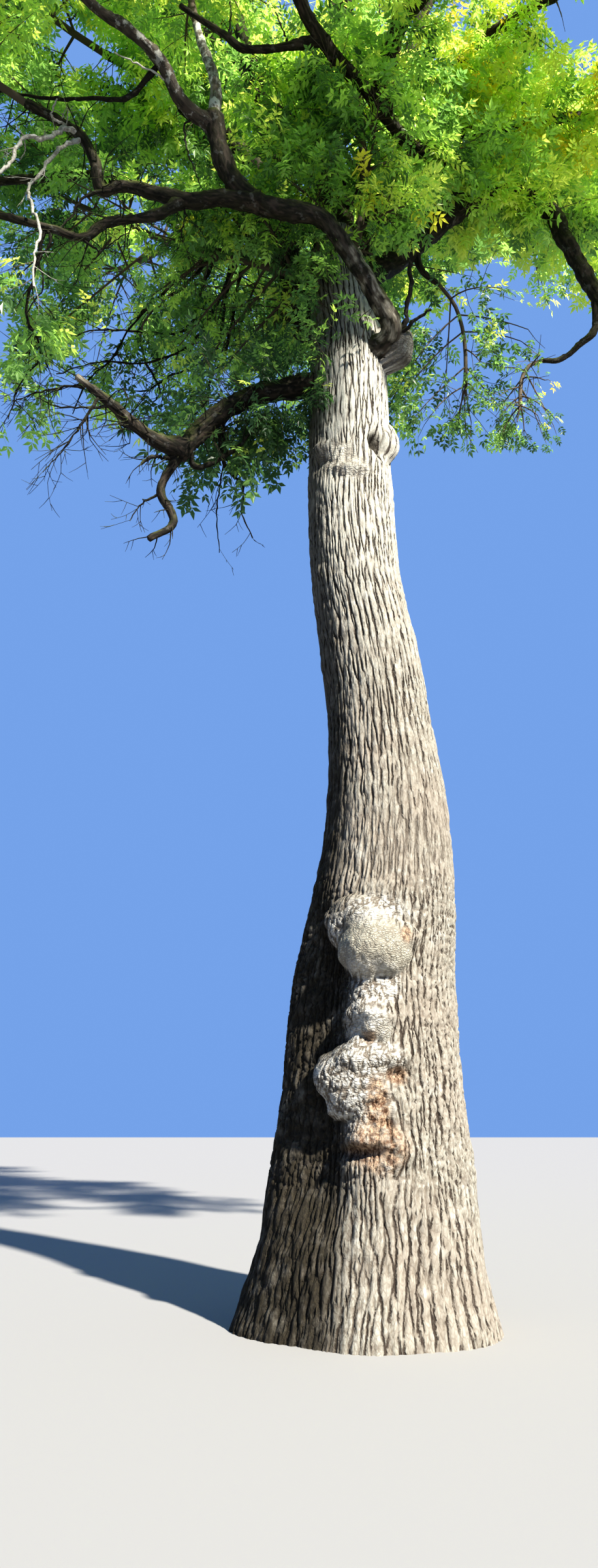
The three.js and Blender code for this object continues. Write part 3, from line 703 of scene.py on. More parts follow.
# The side left of the burls falls back in a broad hollow, and a low ridge carries the burls.
low_part = between(0.5, 1.1, 2.75, 3.35)
for bearing, half_width, outward in ((230, 25, -0.15), (188, 20, 0.03)):
    across = (a - math.radians(bearing)) / math.radians(half_width)
    surface += outward * np.exp(-(across ** 2)) * low_part
ridge_at = math.radians(261) + 0.08 * np.sin(z * 4.0)
surface += 0.07 * np.exp(-(((a - ridge_at) * radius / 0.19) ** 2)) * between(0.9, 1.4, 2.6, 3.2)
bent = on_side(surface)
warp_a = 0.10 * noise(bent, 2.6, 31.0) + 0.03 * noise(bent, 7.0, 37.0)
warp_z = 0.07 * noise(bent, 3.0, 51.0) + 0.022 * noise(bent, 8.0, 57.0)
burl_share, lobe_share, knob_share = np.zeros((3, len(surface)))
for number, (height, bearing, out, outward, sideways, upward) in enumerate(BURLS):
    turn = math.radians(bearing)
    bend = min(1.0, upward / 200)
    off = a + warp_a * bend - turn
    cos_t, sin_t = np.cos(off), np.sin(off)
    z_t = z + warp_z * bend
    lump = 1 + 0.08 * noise(at_surface, 5.0, height * 0.01)
    p, q, r = outward * MM * lump, sideways * MM * lump, upward * MM * lump
    c = out * MM
    above = smooth(z_t - height * MM, -0.4 * upward * MM, 0.3 * upward * MM)
    room = 1 - ((z_t - height * MM) / r) ** 2
    qa = (cos_t / p) ** 2 + (sin_t / q) ** 2
    qb = -2 * c * cos_t / p ** 2
    qc = (c / p) ** 2 - room
    under = qb ** 2 - 4 * qa * qc
    reach = (-qb + np.sqrt(np.maximum(under, 0))) / (2 * qa)
    reach = np.where((under > 0) & (cos_t > 0), reach, 0)
    # how softly the lump joins the trunk: the low ones run out upward
    k = 0.03 + 0.24 * above if number < LOW_BURLS else 0.10 if number == KNOB else 0.04
    blend = np.clip(0.5 + 0.5 * (reach - surface) / k, 0, 1)
    surface = surface * (1 - blend) + reach * blend + k * blend * (1 - blend)
    share_here = smooth(blend, 0.55, 0.95)
    if number == KNOB:
        knob_share = share_here
    if number in BARKED:
        lobe_share = np.maximum(lobe_share, share_here)
    else:
        burl_share = np.maximum(burl_share, share_here)

at_surface = on_side(surface)

# Two families of long furrows slant across each other in a net; fewer pass round the thinner top.
zone = smooth(z, 2.9, 4.6)
LINES = {"lines_low": 62, "lines_high": 41}
SLANT = 0.9
plate = np.zeros_like(z)
line_sets = {}
for name, count in LINES.items():
    offset = count * 1.7
    strength = zone if name == "lines_high" else 1 - zone
    pair = []
    for family in (0, 1):
        shift = offset + 19.3 * family
        line = count * a / (2 * math.pi) + 0.5 * family + (SLANT if family else -SLANT) * z
        line = line + 0.66 * round_trunk(count * 0.35, 1.6, shift)
        line = line + 0.21 * round_trunk(count * 1.1, 8.0, shift + 5)
        pair.append(line)
    near = [np.abs((line + 0.5) % 1 - 0.5) for line in pair]
    ridge = np.minimum(smooth(near[0], 0, 0.19), smooth(near[1], 0, 0.17))
    plate += strength * ridge
    line_sets[name] = np.stack([*pair, strength], axis=1)


def cracked(spread, width, seed):
    """0 in the cracks of a net of small scales and 1 on them, at so many scales a metre."""
    spread = np.array(spread)
    first = np.abs(noise(at_surface * spread, 1.0, seed))
    second = np.abs(noise(at_surface * spread * 1.55, 1.0, seed + 36))
    return smooth(np.minimum(first, second) / width, 0, 1)


def trunk_spot(bearing, height, wide, tall):
    """1 at a place on the trunk's side, fading over a patch of the given half sizes in metres."""
    gap = (a - math.radians(bearing) + math.pi) % (2 * math.pi) - math.pi
    return np.exp(-((gap * radius / wide) ** 2 + ((z - height) / tall) ** 2))


# bearing, height, half width, half height in metres
SCALY = [
    (-100, 2.55, 0.30, 0.20), (-108, 2.20, 0.30, 0.25), (-95, 1.95, 0.26, 0.20),
    (-100, 1.62, 0.22, 0.30), (-98, 3.15, 0.24, 0.14),
]
WRINKLED = [(-118, 7.60, 0.26, 0.20), (-92, 7.45, 0.24, 0.15)]
scaly = smooth(np.max([trunk_spot(*spot) for spot in SCALY], axis=0), 0.25, 0.65)
scaly = np.maximum(scaly, np.maximum(lobe_share * (z < 3.5), knob_share))
wrinkled = smooth(np.max([trunk_spot(*spot) for spot in WRINKLED], axis=0), 0.3, 0.75)
# ridges that meet fill the furrow between them for a while
bridges = smooth(noise(at_surface * np.array((12, 12, 5.5)), 1.0, 41.0), 0.06, 0.30)
plate += (1 - plate) * 0.75 * bridges
breaks = cracked((7, 7, 12), 0.11, 61.0)
least = 0.15 + 0.30 * zone
plate = np.minimum(plate, least + (1 - least) * breaks)
plate = plate * (1 - scaly) + cracked((14, 14, 11), 0.22, 25.0) * scaly
plate = plate * (1 - wrinkled) + cracked((9, 9, 20), 0.26, 47.0) * wrinkled
plate = plate * (1 - burl_share) + cracked((11, 11, 11), 0.25, 5.0) * burl_share
depth = 0.012 + 0.014 * np.minimum(1, radius / 0.65)
depth = depth * (1 - 0.7 * burl_share) * (1 - 0.4 * scaly) * (1 - 0.6 * knob_share)
surface += depth * (plate - 0.7)
surface += 0.004 * noise(at_surface, 26.0, 3.0) + 0.006 * noise(at_surface, 9.0, 33.0)
knobbly = 0.011 * noise(at_surface, 6.0, 71.0) + 0.004 * noise(at_surface, 15.0, 13.0)
surface += burl_share * knobbly
surface *= 1 - 0.12 * smooth(z, TRUNK_TOP * MM - 0.5, TRUNK_TOP * MM)

# hollows and scars: bearing, height, half width, half height, depth, rot
SCARS = [
    (-102, 1.30, 0.15, 0.05, 0.17, 1.0),
    (-95, 1.46, 0.05, 0.045, 0.06, 1.0),
    (-86, 1.50, 0.035, 0.05, 0.05, 1.0),
    (-84, 2.00, 0.13, 0.07, -0.075, 0.0),
    (-110, 1.98, 0.14, 0.06, -0.03, 0.0),
    (-112, 2.60, 0.16, 0.12, 0.05, 0.0),
    (-80, 1.86, 0.10, 0.075, 0.11, 0.9),
    (-92, 1.62, 0.09, 0.24, 0.015, 1.0),
    (-92, 1.35, 0.20, 0.20, 0.0, 0.9),
    (-77, 2.93, 0.055, 0.07, 0.02, 0.9),
    (-97, 2.14, 0.06, 0.05, 0.0, 0.8),
    (-104, 4.22, 0.09, 0.07, -0.02, 0.0),
    (-103, 3.73, 0.10, 0.06, -0.015, 0.0),
    (-148, 6.43, 0.05, 0.05, -0.03, 0.0),
    (-53, 7.80, 0.075, 0.085, 0.15, 0.0),
    (-46, 7.70, 0.05, 0.06, 0.08, 0.0),
    (-140, 7.58, 0.10, 0.05, 0.04, 0.0),
]
surface += scaly * 0.006 * noise(at_surface, 13.0, 83.0)
decay = hole = np.zeros_like(z)
for bearing, height, wide, tall, sunk, rot in SCARS:
    spot = trunk_spot(bearing, height, wide, tall)
    surface -= sunk * spot
    decay = np.maximum(decay, rot * smooth(spot, 0.15, 0.7))
    hole = np.maximum(hole, smooth(sunk * spot, 0.03, 0.08))

surface += decay * (0.022 * noise(at_surface, 12.0, 91.0) + 0.012 * noise(at_surface, 27.0, 95.0))
verts = on_side(surface)
# how dark the relief's hollows are: the furrows' own darker bark, with painted shade deepest in the
# hollows and scars
furrow_and_shade = np.clip((1 - plate) * (1 - 0.4 * burl_share) + hole, 0, 1)
rough_share = np.maximum(scaly, wrinkled) * smooth(z, 0.6, 1.4) * (1 - 0.6 * decay)


def facing(bearing, low, high):
    return smooth(np.cos(a - math.radians(bearing)), low, high)


# painted shade, dark in colour: the shaded side, its lower stretch, the knob, the high hollow and
# the side near the fork
painted_shade = facing(188, 0.62, 0.93) * (1 - 0.25 * smooth(z, 3.5, 6.0))
off_burls = 1 - 0.9 * np.maximum(burl_share, lobe_share)
painted_shade = np.maximum(painted_shade, facing(196, 0.44, 0.74) * (1 - smooth(z, 2.9, 3.5)) * off_burls)
painted_shade *= 1 - 0.5 * smooth(z, 8.0, 9.5)
painted_shade = np.maximum(painted_shade, np.maximum(0.65 * knob_share, 0.8 * hole * smooth(z, 7.0, 7.5)))
painted_shade = np.maximum(painted_shade, 0.65 * facing(215, 0.4, 0.9) * smooth(z, 8.3, 9.0))
moss = smooth(z, 7.5, 9.6) * facing(170, 0.1, 0.9)
share = np.stack([burl_share, moss, decay], axis=1)

marks = {"furrow_and_shade": furrow_and_shade, "share": share, "painted_shade": painted_shade, "scales": rough_share, **line_sets}
bark = trunk_material()
cuts = [0, *(int(np.searchsorted(heights, end)) for end in PIECE_ENDS), len(heights) - 1]
for part, (low, high) in enumerate(zip(cuts, cuts[1:])):
    own = slice(low * COLUMNS, (high + 1) * COLUMNS)
    piece = new_object(
        f"trunk_{('lower', 'middle', 'upper')[part]}", verts[own],
        grid_faces(high - low + 1, COLUMNS, closed=False), [bark],
        attributes={key: values[own] for key, values in marks.items()},
    )
    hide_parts("trunk")


# ---- Limbs ------------------------------------------------------------------------------
# name, pale and dark tones, moss, lichen; the near-black tones of the boughs and dead wood are
# partly their dark mossy bark and partly painted shade
bough_bark, lichen_bark, dead_bark_and_shade, upright_bark, pale_bark = (bough_material(*row) for row in (
    ("bough_bark", (0.022, 0.0195, 0.011), (0.006, 0.0054, 0.0033), 0.9, 0.12),
    ("lichen_bark", (0.055, 0.047, 0.036), (0.018, 0.015, 0.011), 0.5, 0.42),
    ("dead_wood", (0.018, 0.0155, 0.010), (0.005, 0.0042, 0.0028), 0.7, 0.1),
    ("upright_bark", (0.20, 0.19, 0.168), (0.055, 0.048, 0.038), 0.4, 0.9),
    ("pale_wood", (0.36, 0.345, 0.31), (0.17, 0.155, 0.13), 0.25, 0.6),
))
PALER = {"front_bough_upright": upright_bark, "front_bough_reach": lichen_bark}


def limb_mesh(name, path):
    """A limb with furrowed, knobbly bark, closed at its tip."""
    spacing = 0.035 if path[0].radius > 60 else 0.05
    wanted = max(6, int(path[-1].distance * MM / spacing))
    path = [station_at(path, path[-1].distance * i / wanted) for i in range(wanted + 1)]
    sides = 28 if path[0].radius > 100 else 20 if path[0].radius > 50 else 14
    points, radii, distances, turn, ring = rings(path, sides)
    points, radii, distances = points * MM, radii * MM, distances * MM
    place = (points[:, None, :] + ring * radii[:, None, None]).reshape(-1, 3)
    r = np.repeat(radii, sides)
    s = np.repeat(distances, sides)
    t = np.tile(turn, len(path))
    seed = sum(map(ord, name)) * 0.37
    # knobs, slow swellings, cracks along the limb and tufts of moss on top
    knobs = noise(place / 0.19, 1.0, seed) * 0.21 + noise(place / 0.07, 1.0, seed + 7) * 0.12
    swell = np.maximum(0, noise(np.stack([s * 2.2, s * 0, s * 0], axis=1), 1.0, seed)) * 0.16
    count = max(2.0, 11 * r[0] / 0.1)
    field = np.stack([np.cos(t) * count / 6, np.sin(t) * count / 6, s * 3.0], axis=1)
    nets = np.abs(noise(field, 1.0, seed)) / 0.17, np.abs(noise(field, 1.7, seed + 3)) / 0.17
    crack = smooth(np.minimum(*nets), 0, 1)
    tufts = np.maximum(0, noise(place / 0.045, 1.0, seed + 11)) * 0.018
    tufts = tufts * smooth(ring[..., 2].ravel(), -0.2, 0.7)
    shown = r * (1 + knobs + swell) + np.minimum(0.10 * r, 0.011) * (crack - 0.7) + tufts
    if name == "front_bough":
        # its tip thickens where it forks, and its first stretch is slimmed
        shown *= 1 + 0.35 * np.exp(-(((s - s.max() + 0.06) / 0.11) ** 2))
        shown *= 1 - 0.20 * smooth(s, 0.30, 0.65) * (1 - smooth(s, 1.8, 2.25))
    verts = points.repeat(sides, axis=0) + ring.reshape(-1, 3) * shown[:, None]
    tip = points[-1] + np.array(path[-1].tangent) * radii[-1] * 0.5
    # the end closes with quads round the tip point, each over two sides
    last = (len(path) - 1) * sides
    cap = [(last + i, last + i + 1, last + (i + 2) % sides, len(verts)) for i in range(0, sides, 2)]
    faces = np.vstack([grid_faces(len(path), sides), cap])
    verts = np.vstack([verts, tip])
    bark_at = np.stack([np.cos(t) * r, np.sin(t) * r, s * 0.25], axis=1)
    # pale patches up from the near bough's foot, and bare wood at the broken end
    foot = s * 0
    if name == "front_bough":
        patches = smooth(noise(place / 0.09, 1.0, seed + 21), -0.12, 0.25)
        foot = 0.95 * (1 - smooth(s, 1.0, 1.9)) * patches
    if name == "dead_bough_tip":
        foot = 0.8 * smooth(s, s.max() - 0.16, s.max() - 0.05)
    return verts, faces, {
        "furrow_and_shade": np.append(1 - crack, 0.3),
        "foot": np.append(foot, 0),
        "bark_at": np.vstack([bark_at, bark_at[-1]]),
    }


for name in [*LIMBS, *(n for n in paths if n.endswith("_bough") and n not in LIMBS)]:
    verts, faces, marks = limb_mesh(name, paths[name])
    material = dead_bark_and_shade if name in DEAD_LIMBS[:3] else PALER.get(name, bough_bark)
    piece = new_object(name + "_bark", verts, faces, [material], attributes=marks)
    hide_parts(name)

# Small branches that the solids leave out, by piece, each with the node that it stands for: parent,
# distance up it, radii, stretches of length, bearing and rise.
# Short bare ones
DEAD_BRANCHES = [
    ("dead_bough", 2210, (26, 17), [(130, -172, -24), (115, -165, 0), (135, -176, -34)]),
    ("dead_bough", 2060, (30, 12), [
        (210, 53, -52), (205, 9, 23), (210, 4, 37), (240, -2, 50), (250, -5, 56)]),
    ("dead_bough", 2010, (24, 9), [(130, 13, 23), (145, 9, 30), (155, 7, 30)]),
    ("dead_bough", 1420, (14, 4), [
        (230, 99, -67), (300, 91, -69), (340, 111, -68), (225, 100, -67), (295, 74, -68)]),
    ("dead_bough", 1550, (19, 6), [
        (330, 64, -65), (165, 69, -60), (250, 24, -39), (265, 97, -66), (265, 42, -56)]),
    ("dead_bough", 900, (16, 4), [(240, -120, -20), (300, -150, -55), (240, -170, -70)]),
    ("dead_bough_tip", 420, (18, 4), [(260, 160, 30), (280, 140, 55), (260, 165, 40)]),
    ("dead_bough_tip", 760, (15, 4), [(260, -170, -10), (260, 175, 5), (200, -170, 20)]),
    ("dead_hanging_branch", 500, (13, 4), [(200, 175, -30), (220, -170, -60)]),
    ("left_low_branch", 1470, (14, 5), [
        (155, 41, -65), (200, 154, -54), (240, 64, -71), (285, 155, -53)]),
    ("left_low_branch", 1130, (12, 4), [(195, 15, -40), (155, -10, 29), (210, -12, 34)]),
    ("left_low_bough", 730, (11, 4), [(145, 75, -72), (145, 132, -67), (125, 63, -71)]),
    ("left_low_bough", 1500, (20, 5), [(280, -150, -40), (320, 170, -60), (260, -170, -45)]),
    ("front_bough_reach", 750, (26, 12), [
        (405, 150, -32), (345, 166, 12), (330, 165, 14), (395, 170, 19), (410, 171, 20)]),
    ("front_bough_reach", 210, (12, 4), [
        (165, 168, -53), (250, 59, -75), (225, 29, -67), (190, 29, -68)]),
    ("front_bough", 2250, (18, 5), [(280, 150, 40), (300, 170, 62), (300, 130, 50)]),
    ("front_bough", 570, (30, 20), [
        (170, -5, 37), (195, -47, 75), (265, -55, 74), (220, -104, 78)]),
    ("front_bough", 570, (26, 12), [(165, -12, 15), (155, -24, 36), (150, -17, 24)]),
    ("over_branch", 340, (12, 4), [(140, -136, 66), (180, -146, 61), (140, -146, 60)]),
    ("over_branch", 980, (11, 4), [(155, -67, 71), (225, -96, 73)]),
    ("over_bough", 1780, (12, 4), [(180, -10, -1), (200, -10, 3)]),
    ("left_leader", 2300, (24, 8), [(345, -22, 50), (285, -123, 70), (230, -17, 43)]),
    ("left_leader", 1630, (22, 8), [(485, -23, 51), (360, -34, 61), (285, -133, 67)]),
    ("centre_leader", 800, (22, 7), [(305, -36, 32), (245, -55, 39), (265, -27, 10)]),
    ("right_bough", 1440, (22, 7), [(245, -86, 48), (335, -27, 22), (175, -32, -19)]),
]
# long ones with a few leaves, below the left foliage
LONG_BRANCHES = [
    ("left_bough", 1280, (24, 7), [
        (440, 143, -63), (530, 142, -63), (475, 179, -3), (500, -179, 3), (450, 177, -10)]),
    ("left_bough", 1030, (22, 6), [
        (480, 147, -70), (495, 160, -61), (295, 173, -53), (495, 179, -23), (535, -175, -3),
        (495, -180, -19)]),
    ("left_bough", 1280, (22, 6), [
        (445, 156, -39), (485, 162, -32), (320, 147, -44), (370, 74, -64), (360, 41, -52),
        (320, 146, -47)]),
    ("dead_bough_tip", 1010, (14, 4), [(150, -178, 6), (305, 177, -10), (275, 175, -16)]),
    ("dead_bough_tip", 920, (16, 4), [
        (120, 175, -69), (240, 166, -58), (300, 164, -56), (245, 171, -47)]),
    ("left_bough", 1030, (22, 6), [
        (575, 116, -64), (525, 119, -63), (250, 157, -21), (370, 165, -15), (325, 161, -21),
        (390, 174, 10)]),
    ("left_bough", 830, (22, 6), [
        (610, 147, -76), (650, 138, -78), (360, 180, -66), (320, -173, -82), (300, -171, -55)]),
    ("left_bough", 1280, (22, 6), [
        (705, 176, -41), (670, 173, -49), (455, 172, -66), (385, -177, -49), (460, 169, -69)]),
    ("left_low_branch", 1470, (18, 5), [
        (420, 121, -51), (345, 117, -48), (360, 63, -49), (375, 140, -36), (330, 127, -42)]),
]
# pale twisted ones at the end of the left bough
PALE_BRANCHES = [
    ("left_low_bough", 2200, (24, 16), [
        (145, -138, -13), (185, -145, -58), (170, -148, -43), (145, -139, -27), (215, -149, -65),
        (225, -126, -79), (235, -160, -59)]),
    ("left_low_bough", 2140, (20, 9), [
        (245, -147, -48), (235, -131, -62), (320, -151, -70), (255, -134, -66), (310, -34, -72),
        (330, -29, -72), (310, -92, -81), (380, -66, -85)]),
    ("left_low_bough", 2200, (15, 8), [(150, -152, 18), (125, -149, 13), (165, -54, 48)]),
    ("front_bough_reach", 550, (12, 5), [(185, -155, 13), (195, -158, 9), (185, -156, 11)]),
]
# parents whose small branches carry fine bare twigs
TWIGGY = (*DEAD_LIMBS[:3], "left_low_bough", "left_low_branch")
FINE_TWIGS = 6
# how far small branches bend at random, in millimetres
CROOK = 6


def spread_twigs(tubes, path, dice, count, reach):
    """Fine bare twigs in loose pairs along a path."""
    for _ in range(count):
        node = station_at(path, path[-1].distance * dice.uniform(0.25, 1.0))
        aim = heading(dice.uniform(0, 360), dice.uniform(-60, 35)) + node.tangent * 0.7
        length = reach * dice.uniform(0.5, 1.0)
        middle = node.point + aim.normalized() * length * 0.5
        onward = aim + heading(dice.uniform(0, 360), dice.uniform(-50, 20)) * 0.8
        end = middle + onward.normalized() * length * 0.5
        twig = trace([node.point, middle, end], (min(7.0, node.radius * 0.5), 2.0), 2)
        tubes.add(twig, 4)
        for _ in range(2):
            at = station_at(twig, length * dice.uniform(0.3, 0.9))
            aim = at.tangent + heading(dice.uniform(0, 360), dice.uniform(-60, 40))
            tip = at.point + aim.normalized() * length * dice.uniform(0.25, 0.5)
            tubes.add(trace([at.point, at.point.lerp(tip, 0.5) - UP * 8, tip], (3.5, 1.5), 1), 3)


dead_dice = np.random.default_rng(23)
small_paths = []
long_paths = []
for label, wood_material, node, table in (
    ("dead_branches", dead_bark_and_shade, "dead_bough", DEAD_BRANCHES),
    ("long_branches", dead_bark_and_shade, "dead_bough", LONG_BRANCHES),
    ("pale_branches", pale_bark, "left_low_bough", PALE_BRANCHES),
):
    tubes = Tubes()
    for parent, at, radii, course in table:
        branch = trace(walk(station_at(paths[parent], at).point, course), radii, 6, 0.3)
        for station in branch[1:]:
            station.point = station.point + Vector(dead_dice.normal(size=3)) * CROOK
            station.radius *= 1 + 0.14 * dead_dice.normal()
        tubes.add(branch, 9)
        small_paths.append(branch)
        if label == "long_branches":
            long_paths.append(branch)
            spread_twigs(tubes, branch, dead_dice, 3 * FINE_TWIGS, 520)
        elif parent in TWIGGY:
            spread_twigs(tubes, branch, dead_dice, FINE_TWIGS, 380)
    if label == "dead_branches":
        for name in DEAD_LIMBS[:2]:
            spread_twigs(tubes, paths[name], dead_dice, 3 * FINE_TWIGS, 640)
        spread_twigs(tubes, paths["dead_hanging_branch"], dead_dice, FINE_TWIGS, 420)
        for name in ("left_low_branch", "left_low_bough"):
            spread_twigs(tubes, paths[name], dead_dice, 4 * FINE_TWIGS, 620)
    piece = tubes.piece(label, wood_material, ("furrow_and_shade", "foot", "bark_at"))
    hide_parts(node)

# all wood that leaves and twigs keep clear of, with the trunk's upper part
solid = [station_at(paths["trunk"], 6500 + k * 70) for k in range(60)]
solid += [station for name, path in paths.items() if name != "trunk" for station in path]
tree = kdtree.KDTree(len(solid))
for i, station in enumerate(solid):
    tree.insert(station.point, i)
tree.balance()


def clear_of_limbs(point, room):
    _, found, distance = tree.find(point)
    return distance > solid[found].radius + room


# ---- Twigs and leaves -------------------------------------------------------------------
GROUPS = {
    "front": ("front", "front_left", "front_right", "front_high"),
    "left": ("left_front", "left_low", "left", "far_left"),
    "middle": ("fork", "trunk_left", "trunk_right", "right_spray", "right_back"),
    "right": ("right_end", "far_right", "upper_right", "right_front"),
    "top": ("top", "top_left", "top_back", "upper_left", "front_top"),
    "back": ("back", "back_left", "back_right", "centre_back", "left_high"),
}
# pairs of twigs on a stem; least lengths, the distance between shoots and the room kept to limbs
PAIRS = 6
TWIG_LEAST = 250
SHOOT_LEAST = 120
SHOOT_STEP = 215
TWIG_ROOM = 60
SHOOT_ROOM = 40
# how far a twig stops inside its mass's space
EDGE = 260
LEAF_STEP = 60
LEAF_LENGTH = 235
# shares of leaves that are missing, and that take a tint other than their shoot's
MISSING_LEAVES = 0.12
STRAY_TINTS = 0.2
# how close shoots stand in a mass: closer where the photograph is dense, looser far from it
THICK = {
    "fork": 2.3, "trunk_left": 2.2, "left": 1.45, "right_back": 1.3, "right_front": 1.3,
    "front": 1.15, "front_left": 1.3, "left_front": 1.2, "front_right": 1.25, "front_high": 1.1,
    "upper_left": 1.2, "left_high": 1.5, "top_back": 0.65,
    **dict.fromkeys(
        ("front_top", "top", "top_left", "upper_right", "back", "back_left", "back_right"), 0.75),
}
# masses near the viewer carry smaller leaves, nearer to life
SMALL = {
    "front": 0.78, "front_right": 0.74, "front_left": 0.8, "left_front": 0.85,
    "front_high": 0.85, "right_front": 0.85, "fork": 0.9,
}
# masses whose twigs run closer to the edge of their space
LOW_EDGE = {"left": 90, "trunk_left": 90, "left_low": 90}

# Tints of the leaves, and the colour of light through them; the lime and fresh ones are partly
# painted sunlight, and leaf_shade is painted shade
TINTS = [
    ("leaf_lime", (0.52, 0.66, 0.13), (0.92, 1.0, 0.20)),
    ("leaf_fresh", (0.38, 0.57, 0.12), (0.72, 0.98, 0.18)),
    ("leaf_green", (0.25, 0.40, 0.11), (0.50, 0.78, 0.16)),
    ("leaf_mid", (0.175, 0.295, 0.095), (0.34, 0.58, 0.13)),
    ("leaf_deep", (0.115, 0.20, 0.08), (0.20, 0.38, 0.09)),
    ("leaf_shade", (0.060, 0.115, 0.050), (0.09, 0.19, 0.055)),
    ("leaf_gold", (0.70, 0.62, 0.08), (1.0, 0.92, 0.10)),
    ("leaf_yellow", (0.86, 0.62, 0.07), (1.0, 0.80, 0.07)),
    ("leaf_orange", (0.82, 0.36, 0.06), (1.0, 0.45, 0.05)),
]
# the tint of painted shade
SHADE = 5
leaf_materials = [leaf_material(*tint) for tint in TINTS]

# Where the photograph shows sky or thin foliage: middle and half sizes in its frame, and the
# share of leaves that stay
OPENINGS = [
    (96, 58, 24, 22, 0.1),
    (20, 185, 34, 40, 0.25),
    (246, 352, 24, 20, 0.15),
    (160, 505, 42, 30, 0.3),
    (62, 308, 22, 16, 0.1),
    (128, 312, 32, 19, 0.05),
    (190, 318, 24, 12, 0.15),
    (218, 402, 22, 18, 0.1),
    (190, 458, 25, 32, 0.15),
    (142, 528, 28, 17, 0.08),
    (85, 570, 34, 14, 0.1),
    (218, 578, 22, 16, 0.1),
    (345, 573, 16, 12, 0.12),
    (122, 617, 32, 16, 0.1),
    (7, 392, 14, 38, 0.2),
    (110, 440, 70, 38, 0.6),
    (190, 560, 100, 36, 0.5),
    (215, 405, 60, 40, 0.55),
    (300, 480, 130, 70, 0.6),
    (260, 590, 150, 35, 0.6),
    (880, 25, 55, 45, 0.03),
    (770, 740, 170, 55, 0.0),
    (850, 570, 90, 110, 0.3),
    (700, 610, 70, 90, 0.36),
    (760, 450, 90, 60, 0.38),
]
# limbs that stand out in front of the foliage, and the distance up each where that starts
IN_SIGHT = {
    "front_bough": 0, "front_bough_upright": 0, "left_low_bough": 0, "left_low_branch": 0,
    "over_bough": 870, "over_branch": 0, "right_bough_fall": 860, "dead_bough": 1200,
    "dead_bough_tip": 0, "dead_hanging_branch": 0,
}


def in_frame(points):
    """Places in the photograph's frame of points in metres, and their depth."""
    v = np.atleast_2d(points) - np.array(EYE)
    depth = np.maximum(v[:, 1] * math.cos(PITCH) + v[:, 2] * math.sin(PITCH), 0.1)
    up = -v[:, 1] * math.sin(PITCH) + v[:, 2] * math.cos(PITCH)
    x, y = MIDDLE_X + FOCAL * v[:, 0] / depth, MIDDLE_Y - FOCAL * up / depth
    return np.stack([x, y, depth], axis=1)


def in_opening(points):
    """The share of leaves that the photograph takes away at each point."""
    seen = in_frame(points)
    gone = np.zeros(len(seen))
    for x, y, wide, tall, kept in OPENINGS:
        inside = ((seen[:, 0] - x) / wide) ** 2 + ((seen[:, 1] - y) / tall) ** 2 < 1
        gone = np.maximum(gone, inside * (1 - kept))
    return gone


sight = []
for stations, margin, gone in [
    *(
        ([s for s in paths[limb] if s.distance >= start], 9, 0.9)
        for limb, start in IN_SIGHT.items()
    ),
    *((branch, 4, 0.9) for branch in small_paths),
    ([station_at(paths["trunk"], height) for height in range(8900, 9900, 150)], -8, 0.72),
    ([s for s in paths["right_bough"] if 1060 < s.distance < 1950], -2, 0.78),
]:
    for station in stations:
        x, y, depth = in_frame([tuple(station.point * MM)])[0]
        sight.append((x, y, depth, FOCAL * station.radius * MM / depth + margin, gone))
sight = np.array(sight)


def hides_limb(points):
    """The share of leaves at points that go, because they stand before a limb in sight."""
    seen = in_frame(points)
    gone = np.zeros(len(seen))
    for x, y, depth, wide, share in sight:
        close = (seen[:, 0] - x) ** 2 + (seen[:, 1] - y) ** 2 < wide ** 2
        gone = np.maximum(gone, share * (close & (seen[:, 2] < depth)))
    return gone


def sideways_from(direction, roll):
    side = direction.cross(UP)
    side = Vector((1, 0, 0)) if side.length < 1e-6 else side.normalized()
    side.rotate(Quaternion(direction, roll))
    return side


def shoot_direction(tangent, spread, roll):
    side = sideways_from(tangent, roll)
    return (tangent * math.cos(spread) + side * math.sin(spread)).normalized()


# how much painted light the leaves of some masses take, where their place alone does not say it
LIGHT = {
    "left_high": 0.62, "left_front": 0.42, "upper_left": 0.62, "front_left": 0.48,
    "far_left": 0.04, "centre_back": 0.25, "trunk_left": 0.15, "trunk_right": 0.08,
    "right_spray": 0.05, "left": 0.08, "left_low": 0.15, "fork": 0.32,
}
# masses with a share of leaves given the painted shade tint
DIM = {
    "right_spray": 0.6, "trunk_right": 0.4, "far_left": 0.25, "left": 0.12, "trunk_left": 0.05,
    "centre_back": 0.2,
}
AUTUMN = ("upper_right", "far_right", "right_front", "right_spray")


def tint_weights(name):
    """How likely each tint is in a mass: paler and yellower to the right and the top, as painted
    light where the sun falls, darker as painted shade elsewhere.
    """
    x, y, z = MASSES[name][0]
    light = 0.5 + 0.07 * x / 1000 + 0.055 * (z / 1000 - 12.5) - 0.01 * y / 1000
    light = LIGHT.get(name, min(1.0, max(0.0, light)))
    lime = np.array([0.48, 0.34, 0.15, 0.03, 0.0, 0.0, 0.02, 0.0, 0.0])
    deep = np.array([0.02, 0.11, 0.27, 0.30, 0.20, 0.10, 0.0, 0.0, 0.0])
    weights = lime * light + deep * (1 - light)
    if name in AUTUMN:
        weights[6:] += (0.07, 0.07, 0.04) if name != "right_spray" else (0.04, 0.02, 0.01)
    dim = DIM.get(name, 0.0)
    weights = weights / weights.sum() * (1 - dim)
    weights[SHADE - 1:SHADE + 1] += dim / 2
    return weights / weights.sum()


